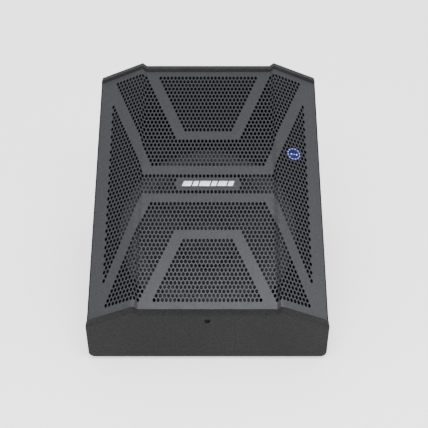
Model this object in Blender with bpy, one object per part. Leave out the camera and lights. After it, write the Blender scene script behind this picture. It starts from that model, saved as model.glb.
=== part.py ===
"""Stage monitor wedge: boarded cabinet, folded grille, coaxial driver and built-in amplifier.

Metres, +Z up. The low end of the wedge faces -Y. The origin is under the middle of the cabinet,
level with the soles of the feet.
"""
import math

import bmesh
import bpy
from mathutils import Matrix, Vector

# ---- cabinet ----
WIDTH = 0.400
DEPTH = 0.425
BOARD = 0.015
FOOT_HEIGHT = 0.006
GAP = 0.0003
CORNER_RISE = 0.0701      # front board height at its outer corners
RIDGE_RISE = 0.1018       # at the two ridges
CENTRE_RISE = 0.0955      # across the middle
RIDGE_X = 0.1214
VALLEY_X = 0.1144
REAR_LIFT = 0.2368        # how much higher the rear board stands
EDGE_RADIUS = 0.010       # long bottom edges
RIM_DEPTH = 0.0055        # how far the grille lies below the end boards' rims
LIP = 0.0017              # rim of the side boards outside the grille

HALF = WIDTH / 2
INNER = HALF - BOARD
Y_FRONT = -DEPTH / 2
Y_REAR = DEPTH / 2
Y_IN_FRONT = Y_FRONT + BOARD
Y_IN_REAR = Y_REAR - BOARD
INSIDE_LENGTH = Y_IN_REAR - Y_IN_FRONT
SLOPE = math.atan(REAR_LIFT / INSIDE_LENGTH)
FACET_FALL = (RIDGE_RISE - CORNER_RISE) / (HALF - RIDGE_X)

# ---- grille ----
SHEET = 0.0015
FLANGE_HALF = 0.095
FLANGE_DROP = 0.020
SCREW_DROP = 0.0135       # grille screws below the middle of each rim

# ---- baffle and driver, in the frame of the driver's axis ----
BAFFLE_DROP = 0.027       # below the grille, square to it
CLEAT = 0.018             # square strips under the baffle's sides
DRIVER_UP_SLOPE = 0.1513  # from the front board's inside face, along the slope
DRIVER_RADIUS = 0.1530
CUTOUT_RADIUS = 0.1420
PORT_X = 0.105
PORT_UP = 0.213           # port centres above the driver's centre
PORT_RADIUS = 0.034
CONE_RADIUS = 0.1190
FRAME_TOP = 0.0086        # front face of the basket's rim, above the baffle
SCREW_CIRCLE = 0.1478
SCREW_COUNT = 8
WINDOW_COUNT = 6
ROLL_MIDDLE = 0.1300      # radius to the middle of the surround's half roll
ROLL_RADIUS = 0.0068
COIL_RADIUS = 0.0500
SPIDER_RADIUS = 0.0855
SPIDER_HEIGHT = -0.0594
MOTOR_RADIUS = 0.0720
HORN_RADIUS = 0.0475
DOME_RADIUS = 0.0220

# ---- name plate and pilot light ----
PLATE_UP = 0.0790         # above the driver's centre, along the slope
PILOT_X = 0.1520
PILOT_UP_SLOPE = 0.2947
PILOT_RADIUS = 0.0090     # of the bezel's barrel
PLATE_HALF = (0.050, 0.008)

# ---- amplifier module, seen from behind ----
PANEL_Z = 0.112           # height of the middle of the panel
PANEL_HALF_X = 0.125
PANEL_HALF_Z = 0.072
DISH_DEPTH = 0.030
DISH_WALL = 0.0015
FLANGE_WIDTH = 0.011
REBATE = 0.004
FLANGE_TOP = -0.0017      # face of a sunk flange, below the board's face

COVER_DEPTH = 0.0535
COVER_WALL = 0.0012
CIRCUIT_THICK = 0.0016
CIRCUIT_DROP = 0.0330     # amplifier boards below the dish's floor
CAPACITOR_X = (0.030, 0.056, 0.082)
CAPACITOR_RADIUS = 0.0100
CAPACITOR_LENGTH = 0.0180
CABLE_X = 0.090           # the driver's lead through the cover
CABLE_DROP = 0.045

HEATSINK_LEFT = -0.116
HEATSINK_RIGHT = -0.018
FIN = 0.0022
FIN_COUNT = 12
FIN_TOP = -0.0060
HEATSINK_BASE = 0.004
SOCKET_RADIUS = 0.0116
LATCH_HALF = 0.0032
INLET_HALF = (0.0135, 0.0099)
SWITCH_HALF = (0.0097, 0.0064)
SOCKETS = ((0.030, 0.042), (0.068, 0.042))
BUTTON = (0.100, 0.050)
BUTTON_HALF = (0.0027, 0.0027)
LIGHT_X = (0.092, 0.100, 0.108)
LIGHT_Y = 0.030
KNOBS = ("level_knob", "bass_knob", "treble_knob")
KNOB_X = (0.028, 0.062, 0.096)
KNOB_Y = 0.000
INLET = (0.034, -0.044)
SWITCH = (0.092, -0.044)
ROCKER_TILT = 9.0

# ---- feet ----
FOOT_X = 0.160
FOOT_Y = 0.170

# ---- side handles ----
HANDLE_Y = 0.105
HANDLE_Z = 0.135
HANDLE_HALF_Y = 0.054
HANDLE_HALF_Z = 0.035
HANDLE_RIM = 0.010
HANDLE_POCKET = 0.042
HANDLE_WALL = 0.003
HANDLE_MOUTH = (0.048, 0.023)

# ---- finishes: colour, roughness, metallic ----
BLACK_PAINT = ((0.058, 0.058, 0.058), 0.62, 0.0)
BARE_PLY = ((0.45, 0.31, 0.18), 0.75, 0.0)
GRILLE_COAT = ((0.090, 0.094, 0.102), 0.45, 0.35)
ZINC = ((0.42, 0.43, 0.45), 0.35, 1.0)
BLACK_SCREW = ((0.030, 0.030, 0.032), 0.40, 0.8)
CAST_ALLOY = ((0.30, 0.31, 0.32), 0.45, 0.9)
PAPER = ((0.16, 0.16, 0.165), 0.85, 0.0)
CLOTH = ((0.022, 0.022, 0.024), 0.90, 0.0)
COPPER = ((0.72, 0.36, 0.18), 0.35, 1.0)
PHENOLIC = ((0.48, 0.27, 0.08), 0.70, 0.0)
MAGNET = ((0.20, 0.20, 0.21), 0.45, 0.8)
BLACK_PLASTIC = ((0.018, 0.018, 0.019), 0.50, 0.0)
TITANIUM = ((0.50, 0.50, 0.52), 0.30, 1.0)
RUBBER = ((0.020, 0.020, 0.020), 0.85, 0.0)
BLUE_LENS = ((0.04, 0.16, 0.62), 0.20, 0.0)
BADGE = ((0.78, 0.79, 0.80), 0.30, 0.6)
CIRCUIT = ((0.02, 0.16, 0.07), 0.50, 0.0)

TAU = 2 * math.pi
ROUND = 24                # facets of the driver's rings


def clear_scene():
    for old in list(bpy.data.objects):
        bpy.data.objects.remove(old, do_unlink=True)


def empty(name, matrix):
    """A frame that pieces are parented to."""
    holder = bpy.data.objects.new(name, None)
    bpy.context.scene.collection.objects.link(holder)
    holder.matrix_world = matrix
    return holder


def add(name, bm, finish=None, parent=None, place=None, smooth=False):
    """Turn a bmesh into a named object; with no finish it is a hidden cutter."""
    bmesh.ops.remove_doubles(bm, verts=bm.verts, dist=1e-6)
    bmesh.ops.recalc_face_normals(bm, faces=bm.faces)
    mesh = bpy.data.meshes.new(name)
    bm.to_mesh(mesh)
    bm.free()
    piece = bpy.data.objects.new(name, mesh)
    bpy.context.scene.collection.objects.link(piece)
    if parent:
        piece.parent = parent
    if place:
        piece.matrix_basis = place
    if smooth:
        mesh.shade_smooth()
        mesh.set_sharp_from_angle(angle=math.radians(35))
    if finish is None:
        piece.hide_render = True
        piece.display_type = "WIRE"
        return piece
    colour, roughness, metallic = finish
    look = bpy.data.materials.new(name + "_finish")
    look.use_nodes = True
    shader = look.node_tree.nodes["Principled BSDF"]
    shader.inputs["Base Color"].default_value = (*colour, 1)
    shader.inputs["Roughness"].default_value = roughness
    shader.inputs["Metallic"].default_value = metallic
    mesh.materials.append(look)
    return piece


def cut(piece, name, bm, parent=None, place=None):
    """Cut a hidden solid out of a piece."""
    cutter = add(name, bm, None, parent, place)
    boolean = piece.modifiers.new(name, "BOOLEAN")
    boolean.operation = "DIFFERENCE"
    boolean.object = cutter
    return cutter


def join(piece, name, bm, parent=None, place=None):
    """Weld a hidden solid onto a piece."""
    boolean = piece.modifiers.new(name, "BOOLEAN")
    boolean.operation = "UNION"
    boolean.object = add(name, bm, None, parent, place)


def prism(bm, outline, low, high, axis="z"):
    """Extrude a closed outline along an axis. The outline is in the other two axes, in order."""
    order = {"x": (2, 0, 1), "y": (0, 2, 1), "z": (0, 1, 2)}[axis]

    def corner(u, v, w):
        values = (u, v, w)
        return Vector((values[order[0]], values[order[1]], values[order[2]]))

    rings = []
    for level in (low, high):
        rings.append([bm.verts.new(corner(u, v, level)) for u, v in outline])
    loft(bm, rings)


def loft(bm, rings):
    """Join rings of vertices with quads and close both ends."""
    count = len(rings[0])
    for first, second in zip(rings, rings[1:]):
        for i in range(count):
            j = (i + 1) % count
            bm.faces.new((first[i], first[j], second[j], second[i]))
    bm.faces.new(rings[0])
    bm.faces.new(rings[-1])


def block(bm, low, high):
    """A box between two corners."""
    outline = [(low[0], low[1]), (high[0], low[1]), (high[0], high[1]), (low[0], high[1])]
    prism(bm, outline, low[2], high[2])


def circle(radius, steps, centre=(0, 0)):
    points = []
    for i in range(steps):
        angle = TAU * i / steps
        points.append((centre[0] + radius * math.cos(angle), centre[1] + radius * math.sin(angle)))
    return points


def rod(bm, radius, low, high, steps=24, centre=(0, 0)):
    """A round bar along Z."""
    prism(bm, circle(radius, steps, centre), low, high)


def turn(bm, profile, steps=ROUND, centre=(0, 0)):
    """Revolve a closed profile of (radius, height) points about Z; points may lie on the axis."""
    columns = []
    for i in range(steps):
        angle = TAU * i / steps
        column = []
        for radius, height in profile:
            x = centre[0] + radius * math.cos(angle)
            y = centre[1] + radius * math.sin(angle)
            column.append(bm.verts.new((x, y, height)))
        columns.append(column)
    count = len(profile)
    for i in range(steps):
        here, there = columns[i], columns[(i + 1) % steps]
        for a in range(count):
            b = (a + 1) % count
            on_axis = (profile[a][0] == 0, profile[b][0] == 0)
            if all(on_axis):
                continue
            if on_axis[0]:
                bm.faces.new((here[a], here[b], there[b]))
            elif on_axis[1]:
                bm.faces.new((here[a], here[b], there[a]))
            else:
                bm.faces.new((here[a], here[b], there[b], there[a]))


def rounded_rectangle(half_x, half_y, radius, steps=4):
    """Outline of a rectangle with round corners, centred on zero."""
    points = []
    for quarter, (sx, sy) in enumerate(((1, 1), (-1, 1), (-1, -1), (1, -1))):
        for i in range(steps + 1):
            angle = (quarter + i / steps) * math.pi / 2
            x = sx * (half_x - radius) + radius * math.cos(angle)
            y = sy * (half_y - radius) + radius * math.sin(angle)
            points.append((x, y))
    return points


# ---------------------------------------------------------------- cabinet


def rim_height(x):
    """Height of the front board's top edge above the bottom of the boards."""
    x = abs(x)
    if x <= VALLEY_X:
        return CENTRE_RISE
    if x <= RIDGE_X:
        return CENTRE_RISE + (RIDGE_RISE - CENTRE_RISE) * (x - VALLEY_X) / (RIDGE_X - VALLEY_X)
    return RIDGE_RISE - FACET_FALL * (x - RIDGE_X)


def end_outline(lift):
    """Outline of an end board in X and Z, seen from the front."""
    points = []
    steps = 5
    for side in (-1, 1):
        corner = []
        for i in range(steps + 1):
            angle = math.pi / 2 * i / steps
            x = HALF - EDGE_RADIUS + EDGE_RADIUS * math.sin(angle)
            z = EDGE_RADIUS - EDGE_RADIUS * math.cos(angle)
            corner.append((side * x, z + FOOT_HEIGHT))
        points += corner if side > 0 else corner[::-1]
    top = [HALF, HALF - 0.004, RIDGE_X, VALLEY_X, -VALLEY_X, -RIDGE_X, -HALF + 0.004, -HALF]
    for x in top:
        z = rim_height(x) + lift + FOOT_HEIGHT
        if abs(x) == HALF:
            z -= 0.002
        points.append((x, z))
    return points


def sloped_loft(bm, section):
    """Loft an (x, z) section from the front board to the rear board, rising with the grille."""
    rings = []
    for y, lift in ((Y_IN_FRONT + GAP, 0.0), (Y_IN_REAR - GAP, REAR_LIFT)):
        ring = []
        for x, z, rises in section:
            ring.append(bm.verts.new((x, y, z + (lift if rises else 0.0))))
        rings.append(ring)
    loft(bm, rings)


def grille_top(x):
    """Upper face of the grille at the front board's inside face."""
    return rim_height(x) - RIM_DEPTH + FOOT_HEIGHT


def driver_frame():
    """Matrix of the driver's axis: X across, Y up the slope, Z out through the grille."""
    up = Vector((0, math.cos(SLOPE), math.sin(SLOPE)))
    out = Vector((0, -math.sin(SLOPE), math.cos(SLOPE)))
    start = Vector((0, Y_IN_FRONT, grille_top(0)))
    centre = start + up * DRIVER_UP_SLOPE - out * BAFFLE_DROP
    return Matrix.Translation(centre) @ Matrix.Rotation(SLOPE, 4, "X")


def panel_frame():
    """Matrix of the amplifier panel: X to the right and Y up seen from behind, Z out of the back."""
    turned = Matrix.Rotation(-math.pi / 2, 4, "X") @ Matrix.Rotation(math.pi, 4, "Z")
    return Matrix.Translation((0, Y_REAR, PANEL_Z)) @ turned


def make_end_boards():
    bm = bmesh.new()
    prism(bm, end_outline(0.0), Y_FRONT, Y_IN_FRONT, "y")
    front = add("front_board", bm, BLACK_PAINT)
    bm = bmesh.new()
    prism(bm, end_outline(REAR_LIFT), Y_IN_REAR, Y_REAR, "y")
    rear = add("rear_board", bm, BLACK_PAINT)
    screw_z = CENTRE_RISE + FOOT_HEIGHT - SCREW_DROP
    for board, z, y, out in ((front, screw_z, Y_FRONT, -1), (rear, screw_z + REAR_LIFT, Y_REAR, 1)):
        bm = bmesh.new()
        turn(bm, [(0, -0.002), (0.0040, -0.002), (0.0040, 0.0035), (0.0024, 0.0035),
                  (0.0024, 0.030), (0, 0.030)], 16)
        facing = Matrix.Rotation(math.pi / 2 * out, 4, "X")
        cut(board, board.name + "_screw_cutter", bm, None, Matrix.Translation((0, y, z)) @ facing)
    frame = panel_frame()
    bm = bmesh.new()
    prism(bm, rounded_rectangle(PANEL_HALF_X, PANEL_HALF_Z, 0.008), -0.05, 0.02)
    cut(rear, "panel_cutter", bm, None, frame)
    bm = bmesh.new()
    rebate_x = PANEL_HALF_X + FLANGE_WIDTH
    rebate_z = PANEL_HALF_Z + FLANGE_WIDTH
    prism(bm, rounded_rectangle(rebate_x, rebate_z, 0.010), -REBATE, 0.02)
    cut(rear, "panel_rebate_cutter", bm, None, frame)


def make_side_boards():
    steps = 5
    for side, name in ((-1, "side_board_left"), (1, "side_board_right")):
        section = [(INNER, FOOT_HEIGHT, False)]
        for i in range(steps + 1):
            angle = math.pi / 2 * i / steps
            x = HALF - EDGE_RADIUS + EDGE_RADIUS * math.sin(angle)
            z = EDGE_RADIUS - EDGE_RADIUS * math.cos(angle)
            section.append((x, z + FOOT_HEIGHT, False))
        lip_top = grille_top(HALF) + 0.0008
        seat = SHEET * 1.15 + GAP
        section += [(HALF, lip_top - 0.001, True), (HALF - 0.0008, lip_top, True),
                    (HALF - LIP, lip_top, True),
                    (HALF - LIP, grille_top(HALF - LIP) - seat, True),
                    (INNER, grille_top(INNER) - seat, True)]
        bm = bmesh.new()
        sloped_loft(bm, [(side * x, z, rises) for x, z, rises in section])
        board = add(name, bm, BLACK_PAINT)
        bm = bmesh.new()
        prism(bm, rounded_rectangle(HANDLE_HALF_Y, HANDLE_HALF_Z, 0.012), 0.0, 0.05)
        cut(board, name + "_handle_cutter", bm, None, handle_frame(side, -0.03))
        bm = bmesh.new()
        rim_y = HANDLE_HALF_Y + HANDLE_RIM
        rim_z = HANDLE_HALF_Z + HANDLE_RIM
        prism(bm, rounded_rectangle(rim_y, rim_z, 0.016), 0.0, 0.02)
        cut(board, name + "_rebate_cutter", bm, None, handle_frame(side, -REBATE))


def handle_frame(side, height):
    """Frame on a side face: X along the cabinet, Y up, Z outwards, raised by height."""
    turned = Matrix.Rotation(math.pi / 2, 4, "X")
    turned = Matrix.Rotation(math.pi / 2 * side, 4, "Z") @ turned
    return Matrix.Translation((side * (HALF + height), HANDLE_Y, HANDLE_Z)) @ turned


def make_bottom_board():
    bm = bmesh.new()
    edge = INNER - GAP
    low = (-edge, Y_IN_FRONT + GAP, FOOT_HEIGHT)
    block(bm, low, (edge, Y_IN_REAR - GAP, FOOT_HEIGHT + BOARD))
    add("bottom_board", bm, BLACK_PAINT)


def baffle_height(y):
    """Height of the baffle's upper face at y."""
    centre = driver_frame().translation
    return centre.z + (y - centre.y) * math.tan(SLOPE)


def make_baffle():
    drop = BOARD / math.cos(SLOPE)
    y_low, y_high = Y_IN_FRONT + GAP, Y_IN_REAR - GAP
    outline = [(y_low, baffle_height(y_low)), (y_low, baffle_height(y_low) - drop),
               (y_high, baffle_height(y_high) - drop), (y_high, baffle_height(y_high))]
    bm = bmesh.new()
    prism(bm, outline, -INNER + GAP, INNER - GAP, "x")
    baffle = add("baffle_board", bm, BLACK_PAINT)
    frame = driver_frame()
    bm = bmesh.new()
    rod(bm, CUTOUT_RADIUS, -0.04, 0.02, ROUND)
    cut(baffle, "driver_cutter", bm, None, frame)
    for side in (-1, 1):
        bm = bmesh.new()
        rod(bm, PORT_RADIUS + 0.0023, -0.04, 0.02, 24, (side * PORT_X, PORT_UP))
        cut(baffle, f"port_cutter_{side}", bm, None, frame)
    size = CLEAT
    for side, name in ((-1, "baffle_cleat_left"), (1, "baffle_cleat_right")):
        x_out = side * (INNER - GAP)
        x_in = side * (INNER - size)
        shift = drop + GAP / math.cos(SLOPE)
        corners = []
        for y in (Y_IN_FRONT + 0.045, Y_IN_REAR - 0.006):
            corners.append((y, baffle_height(y) - shift))
        outline = [corners[0], corners[1]]
        outline += [(corners[1][0], corners[1][1] - size), (corners[0][0], corners[0][1] - size)]
        bm = bmesh.new()
        prism(bm, outline, min(x_out, x_in), max(x_out, x_in), "x")
        add(name, bm, BARE_PLY)


def make_grille():
    """A folded sheet with a flange turned down at each end of its middle panel."""
    breaks = [-HALF + LIP + GAP, -RIDGE_X, -VALLEY_X, VALLEY_X, RIDGE_X, HALF - LIP - GAP]
    thick = SHEET * 1.15
    section = [(x, grille_top(x), True) for x in breaks]
    section += [(x, grille_top(x) - thick, True) for x in reversed(breaks)]
    bm = bmesh.new()
    sloped_loft(bm, section)
    grille = add("grille", bm, GRILLE_COAT)
    bm = bmesh.new()
    for y, lift, into in ((Y_IN_FRONT + GAP, 0.0, 1), (Y_IN_REAR - GAP, REAR_LIFT, -1)):
        top = grille_top(0) + lift - thick / 2
        low = (-FLANGE_HALF, min(y, y + into * SHEET), top - FLANGE_DROP)
        block(bm, low, (FLANGE_HALF, max(y, y + into * SHEET), top))
    join(grille, "grille_flanges", bm)
    screw_z = CENTRE_RISE + FOOT_HEIGHT - SCREW_DROP
    bm = bmesh.new()
    for y, lift in ((Y_IN_FRONT, 0.0), (Y_IN_REAR, REAR_LIFT)):
        ring = circle(0.0024, 12, (0, screw_z + lift))
        prism(bm, ring, y - 0.004, y + 0.004, "y")
    cut(grille, "grille_hole_cutter", bm)
    for name, y, lift, into in (("grille_screw_front", Y_FRONT, 0.0, 1),
                                ("grille_screw_rear", Y_REAR, REAR_LIFT, -1)):
        place = Matrix.Translation((0, y, screw_z + lift)) @ Matrix.Rotation(-math.pi / 2 * into, 4, "X")
        bm = bmesh.new()
        turn(bm, [(0, 0.0017), (0.0013, 0.0017), (0.0013, 0.0006), (0.0036, 0.0006),
                  (0.0036, 0.0032), (0.0020, 0.0032), (0.0020, 0.0215), (0, 0.0215)], 16)
        add(name, bm, BLACK_SCREW, place=place, smooth=True)
        bm = bmesh.new()
        start = BOARD + GAP + SHEET / 2
        end = BOARD + GAP + SHEET + 0.004
        turn(bm, [(0.0024, start), (0.0045, start), (0.0045, end), (0.0024, end)], 12)
        join(grille, name + "_nut", bm, None, place)


def make_badges():
    """The plain name plate, and the blue pilot light on the right facet."""
    frame = driver_frame()
    up = PLATE_UP
    bm = bmesh.new()
    outline = [(x, y + up) for x, y in rounded_rectangle(*PLATE_HALF, 0.004)]
    prism(bm, outline, BAFFLE_DROP + GAP, BAFFLE_DROP + GAP + 0.0012)
    add("name_plate", bm, BADGE, place=frame)
    tilt = math.atan(FACET_FALL * math.cos(SLOPE))
    start = Vector((PILOT_X, Y_IN_FRONT, grille_top(PILOT_X)))
    centre = start + Vector((0, math.cos(SLOPE), math.sin(SLOPE))) * PILOT_UP_SLOPE
    place = Matrix.Translation(centre) @ Matrix.Rotation(SLOPE, 4, "X") @ Matrix.Rotation(tilt, 4, "Y")
    grille = bpy.data.objects["grille"]
    bm = bmesh.new()
    rod(bm, PILOT_RADIUS + GAP, -0.006, 0.004, 24)
    cut(grille, "pilot_hole_cutter", bm, None, place)
    bm = bmesh.new()
    turn(bm, [(0.0075, -0.008), (PILOT_RADIUS, -0.008), (PILOT_RADIUS, 0.0003), (0.0130, 0.0003),
              (0.0130, 0.0011), (0.0122, 0.0020), (0.0098, 0.0020), (0.0098, 0.0012),
              (0.0075, 0.0012)], 24)
    add("pilot_bezel", bm, BLACK_PLASTIC, place=place, smooth=True)
    bm = bmesh.new()
    turn(bm, [(0, -0.004), (0.0072, -0.004), (0.0072, 0.0015), (0.0094, 0.0015), (0.0094, 0.0021),
              (0.0060, 0.0027), (0, 0.0030)], 24)
    add("pilot_lens", bm, BLUE_LENS, place=place, smooth=True)
    bm = bmesh.new()
    block(bm, (-0.011, -0.009, -0.0100), (0.011, 0.009, -0.0084))
    add("pilot_board", bm, CIRCUIT, place=place)


def screw_ring(radius, count, hole, low, high, turned=0.5):
    """Rods on a circle, to cut screw holes."""
    bm = bmesh.new()
    for i in range(count):
        angle = TAU * (i + turned) / count
        rod(bm, hole, low, high, 10, (radius * math.cos(angle), radius * math.sin(angle)))
    return bm


def make_driver():
    axis = empty("driver_axis", driver_frame())
    top = FRAME_TOP
    bm = bmesh.new()
    turn(bm, [(0.1330, top), (DRIVER_RADIUS, top), (DRIVER_RADIUS, 0.0026), (0.1412, 0.0026),
              (0.1400, -0.0140), (0.0900, -0.0660), (0.0900, -0.0700), (0.0560, -0.0700),
              (0.0560, -0.0665), (0.0760, -0.0665), (0.0760, -0.0600), (0.0865, -0.0600),
              (0.1350, -0.0110), (0.1380, 0.0040), (0.1330, 0.0040)])
    basket = add("driver_basket", bm, CAST_ALLOY, axis, smooth=True)
    windows = bmesh.new()
    for i in range(WINDOW_COUNT):
        middle = TAU * i / WINDOW_COUNT
        outline = []
        for radius, turns in ((0.0960, (-19, -6, 6, 19)), (0.1500, (19, 6, -6, -19))):
            for degrees in turns:
                angle = middle + math.radians(degrees)
                outline.append((radius * math.cos(angle), radius * math.sin(angle)))
        prism(windows, outline, -0.0560, -0.0170)
    cut(basket, "basket_windows", windows, axis)
    cut(basket, "basket_holes", screw_ring(SCREW_CIRCLE, SCREW_COUNT, 0.0030, -0.01, 0.02), axis)

    bm = bmesh.new()
    turn(bm, [(0.1425, 0.0003), (0.1528, 0.0003), (0.1528, 0.0023), (0.1425, 0.0023)])
    gasket = add("driver_gasket", bm, RUBBER, axis, smooth=True)
    cut(gasket, "gasket_holes", screw_ring(SCREW_CIRCLE, SCREW_COUNT, 0.0030, -0.01, 0.02), axis)
    baffle = bpy.data.objects["baffle_board"]
    cut(baffle, "baffle_screw_holes", screw_ring(SCREW_CIRCLE, SCREW_COUNT, 0.0028, -0.0135, 0.02), axis)
    roll = [(0.1435, top + GAP), (0.1370, top + GAP)]
    steps = 6
    for i in range(1, steps):
        angle = math.pi * i / steps
        height = top + GAP + ROLL_RADIUS * math.sin(angle)
        roll.append((ROLL_MIDDLE + ROLL_RADIUS * math.cos(angle), height))
    roll += [(0.1230, top + GAP), (0.1190, top - 0.0005)]
    wall = [(radius, height + 0.0008) for radius, height in reversed(roll)]
    bm = bmesh.new()
    turn(bm, roll + wall)
    add("driver_surround", bm, CLOTH, axis, smooth=True)

    bm = bmesh.new()
    face = [(CONE_RADIUS + 0.0030, 0.0070), (0.1080, -0.0040), (0.0850, -0.0225), (0.0650, -0.0405),
            (0.0510, -0.0560)]
    back = [(radius, height - 0.0012) for radius, height in reversed(face)]
    turn(bm, face + back)
    add("driver_cone", bm, PAPER, axis, smooth=True)

    bm = bmesh.new()
    outer = COIL_RADIUS + 0.0006
    turn(bm, [(COIL_RADIUS, -0.0820), (outer, -0.0820), (outer, -0.0500), (COIL_RADIUS, -0.0500)])
    add("voice_coil_former", bm, PHENOLIC, axis, smooth=True)
    bm = bmesh.new()
    inner = outer + GAP
    outer = inner + 0.0012
    turn(bm, [(inner, -0.0800), (outer, -0.0800), (outer, -0.0670), (inner, -0.0670)])
    add("voice_coil", bm, COPPER, axis, smooth=True)

    waves = []
    last = 8
    start = COIL_RADIUS + 0.0012
    for i in range(last + 1):
        radius = start + (SPIDER_RADIUS - start) * i / last
        height = SPIDER_HEIGHT
        if 0 < i < last and i % 2:
            height += 0.0012
        waves.append((radius, height))
    lower = [(radius, height + 0.0006) for radius, height in reversed(waves)]
    bm = bmesh.new()
    turn(bm, waves + lower)
    add("driver_spider", bm, PHENOLIC, axis, smooth=True)

    rings = (("motor_top_plate", 0.0545, -0.0773, -0.0703, ZINC),
             ("motor_magnet", 0.0560, -0.0896, -0.0776, MAGNET))
    for name, bore, low, high, finish in rings:
        bm = bmesh.new()
        turn(bm, [(bore, low), (MOTOR_RADIUS, low), (MOTOR_RADIUS, high), (bore, high)])
        add(name, bm, finish, axis, smooth=True)
    bm = bmesh.new()
    pole = HORN_RADIUS
    turn(bm, [(0.0300, -0.0969), (MOTOR_RADIUS, -0.0969), (MOTOR_RADIUS, -0.0899), (pole, -0.0899),
              (pole, -0.0690), (0.0300, -0.0690)])
    add("motor_back_plate", bm, ZINC, axis, smooth=True)

    bm = bmesh.new()
    turn(bm, [(0.0127, -0.0966), (0.0297, -0.0966), (0.0297, -0.0680), (0.0340, -0.0640),
              (HORN_RADIUS, -0.0500), (HORN_RADIUS, -0.0480), (0.0440, -0.0480), (0.0380, -0.0560),
              (0.0260, -0.0700), (0.0170, -0.0850)])
    add("tweeter_horn", bm, BLACK_PLASTIC, axis, smooth=True)
    rim = HORN_RADIUS - 0.0005
    edge = -0.0477
    rise = 0.0090
    dome = [(rim, edge)]
    for i in range(1, 4):
        angle = math.pi / 2 * i / 4
        dome.append((rim * math.cos(angle), edge + rise * math.sin(angle)))
    dome.append((0, edge + rise))
    under = [(radius, height - 0.0008) for radius, height in reversed(dome)]
    under = [(max(radius - 0.0008, 0), height + 0.0008 if i == 4 else height)
             for i, (radius, height) in enumerate(under)]
    bm = bmesh.new()
    turn(bm, dome + under)
    add("horn_screen", bm, CLOTH, axis, smooth=True)

    bm = bmesh.new()
    turn(bm, [(0, -0.1010), (0.0110, -0.1010), (0.0110, -0.0975), (0.0040, -0.0900), (0, -0.0860)], 24)
    add("phase_plug", bm, BLACK_PLASTIC, axis, smooth=True)
    edge = -0.1030
    rise = 0.0050
    dome = []
    for i in range(4):
        angle = math.pi / 2 * i / 4
        dome.append((DOME_RADIUS * math.cos(angle), edge - rise * math.sin(angle)))
    dome.append((0, edge - rise))
    under = [(max(radius - 0.0001, 0), height - 0.0005) for radius, height in reversed(dome)]
    bm = bmesh.new()
    turn(bm, dome + under, 32)
    add("tweeter_diaphragm", bm, TITANIUM, axis, smooth=True)
    bm = bmesh.new()
    turn(bm, [(0, -0.1130), (0.0380, -0.1130), (0.0400, -0.1110), (0.0400, -0.0972), (0.0240, -0.0972),
              (0.0240, -0.1100), (0, -0.1100)], 32)
    add("tweeter_rear_cap", bm, CAST_ALLOY, axis, smooth=True)

    bm = bmesh.new()
    block(bm, (-0.014, 0.1135, -0.0520), (0.014, 0.1195, -0.0430))
    terminals = add("driver_terminals", bm, BLACK_PLASTIC, axis)
    bm = bmesh.new()
    for x in (-0.008, 0.008):
        block(bm, (x - 0.0024, 0.1190, -0.0480), (x + 0.0024, 0.1280, -0.0472))
    join(terminals, "terminal_blades", bm, axis)


def make_ports():
    frame = driver_frame()
    for side, name in ((-1, "port_tube_left"), (1, "port_tube_right")):
        outer = PORT_RADIUS + 0.0020
        bm = bmesh.new()
        turn(bm, [(PORT_RADIUS, -0.0450), (outer, -0.0450), (outer, GAP), (0.0430, GAP),
                  (0.0430, 0.0018), (0.0410, 0.0032), (0.0385, 0.0032), (0.0355, 0.0010),
                  (PORT_RADIUS, -0.0040)], 24, (side * PORT_X, PORT_UP))
        add(name, bm, BLACK_PLASTIC, place=frame, smooth=True)


def make_handles():
    for side, name in ((-1, "side_handle_left"), (1, "side_handle_right")):
        frame = handle_frame(side, 0.0)
        body = bmesh.new()
        prism(body, rounded_rectangle(HANDLE_HALF_Y - GAP, HANDLE_HALF_Z - GAP, 0.012),
              -HANDLE_POCKET, -0.0020)
        handle = add(name, body, BLACK_PLASTIC, place=frame)
        flange = bmesh.new()
        rim_y, rim_z = HANDLE_HALF_Y + HANDLE_RIM - GAP, HANDLE_HALF_Z + HANDLE_RIM - GAP
        prism(flange, rounded_rectangle(rim_y, rim_z, 0.016), -REBATE + GAP, FLANGE_TOP)
        join(handle, name + "_flange", flange, None, frame)
        pocket = bmesh.new()
        room_y, room_z = HANDLE_HALF_Y - HANDLE_WALL, HANDLE_HALF_Z - HANDLE_WALL
        prism(pocket, rounded_rectangle(room_y, room_z, 0.009, 1),
              -HANDLE_POCKET + HANDLE_WALL, -0.0065)
        cut(handle, name + "_pocket", pocket, None, frame)
        mouth = bmesh.new()
        outline = [(y, z - 0.008) for y, z in rounded_rectangle(*HANDLE_MOUTH, 0.009, 1)]
        prism(mouth, outline, -0.0070, 0.01)
        cut(handle, name + "_mouth", mouth, None, frame)


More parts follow.
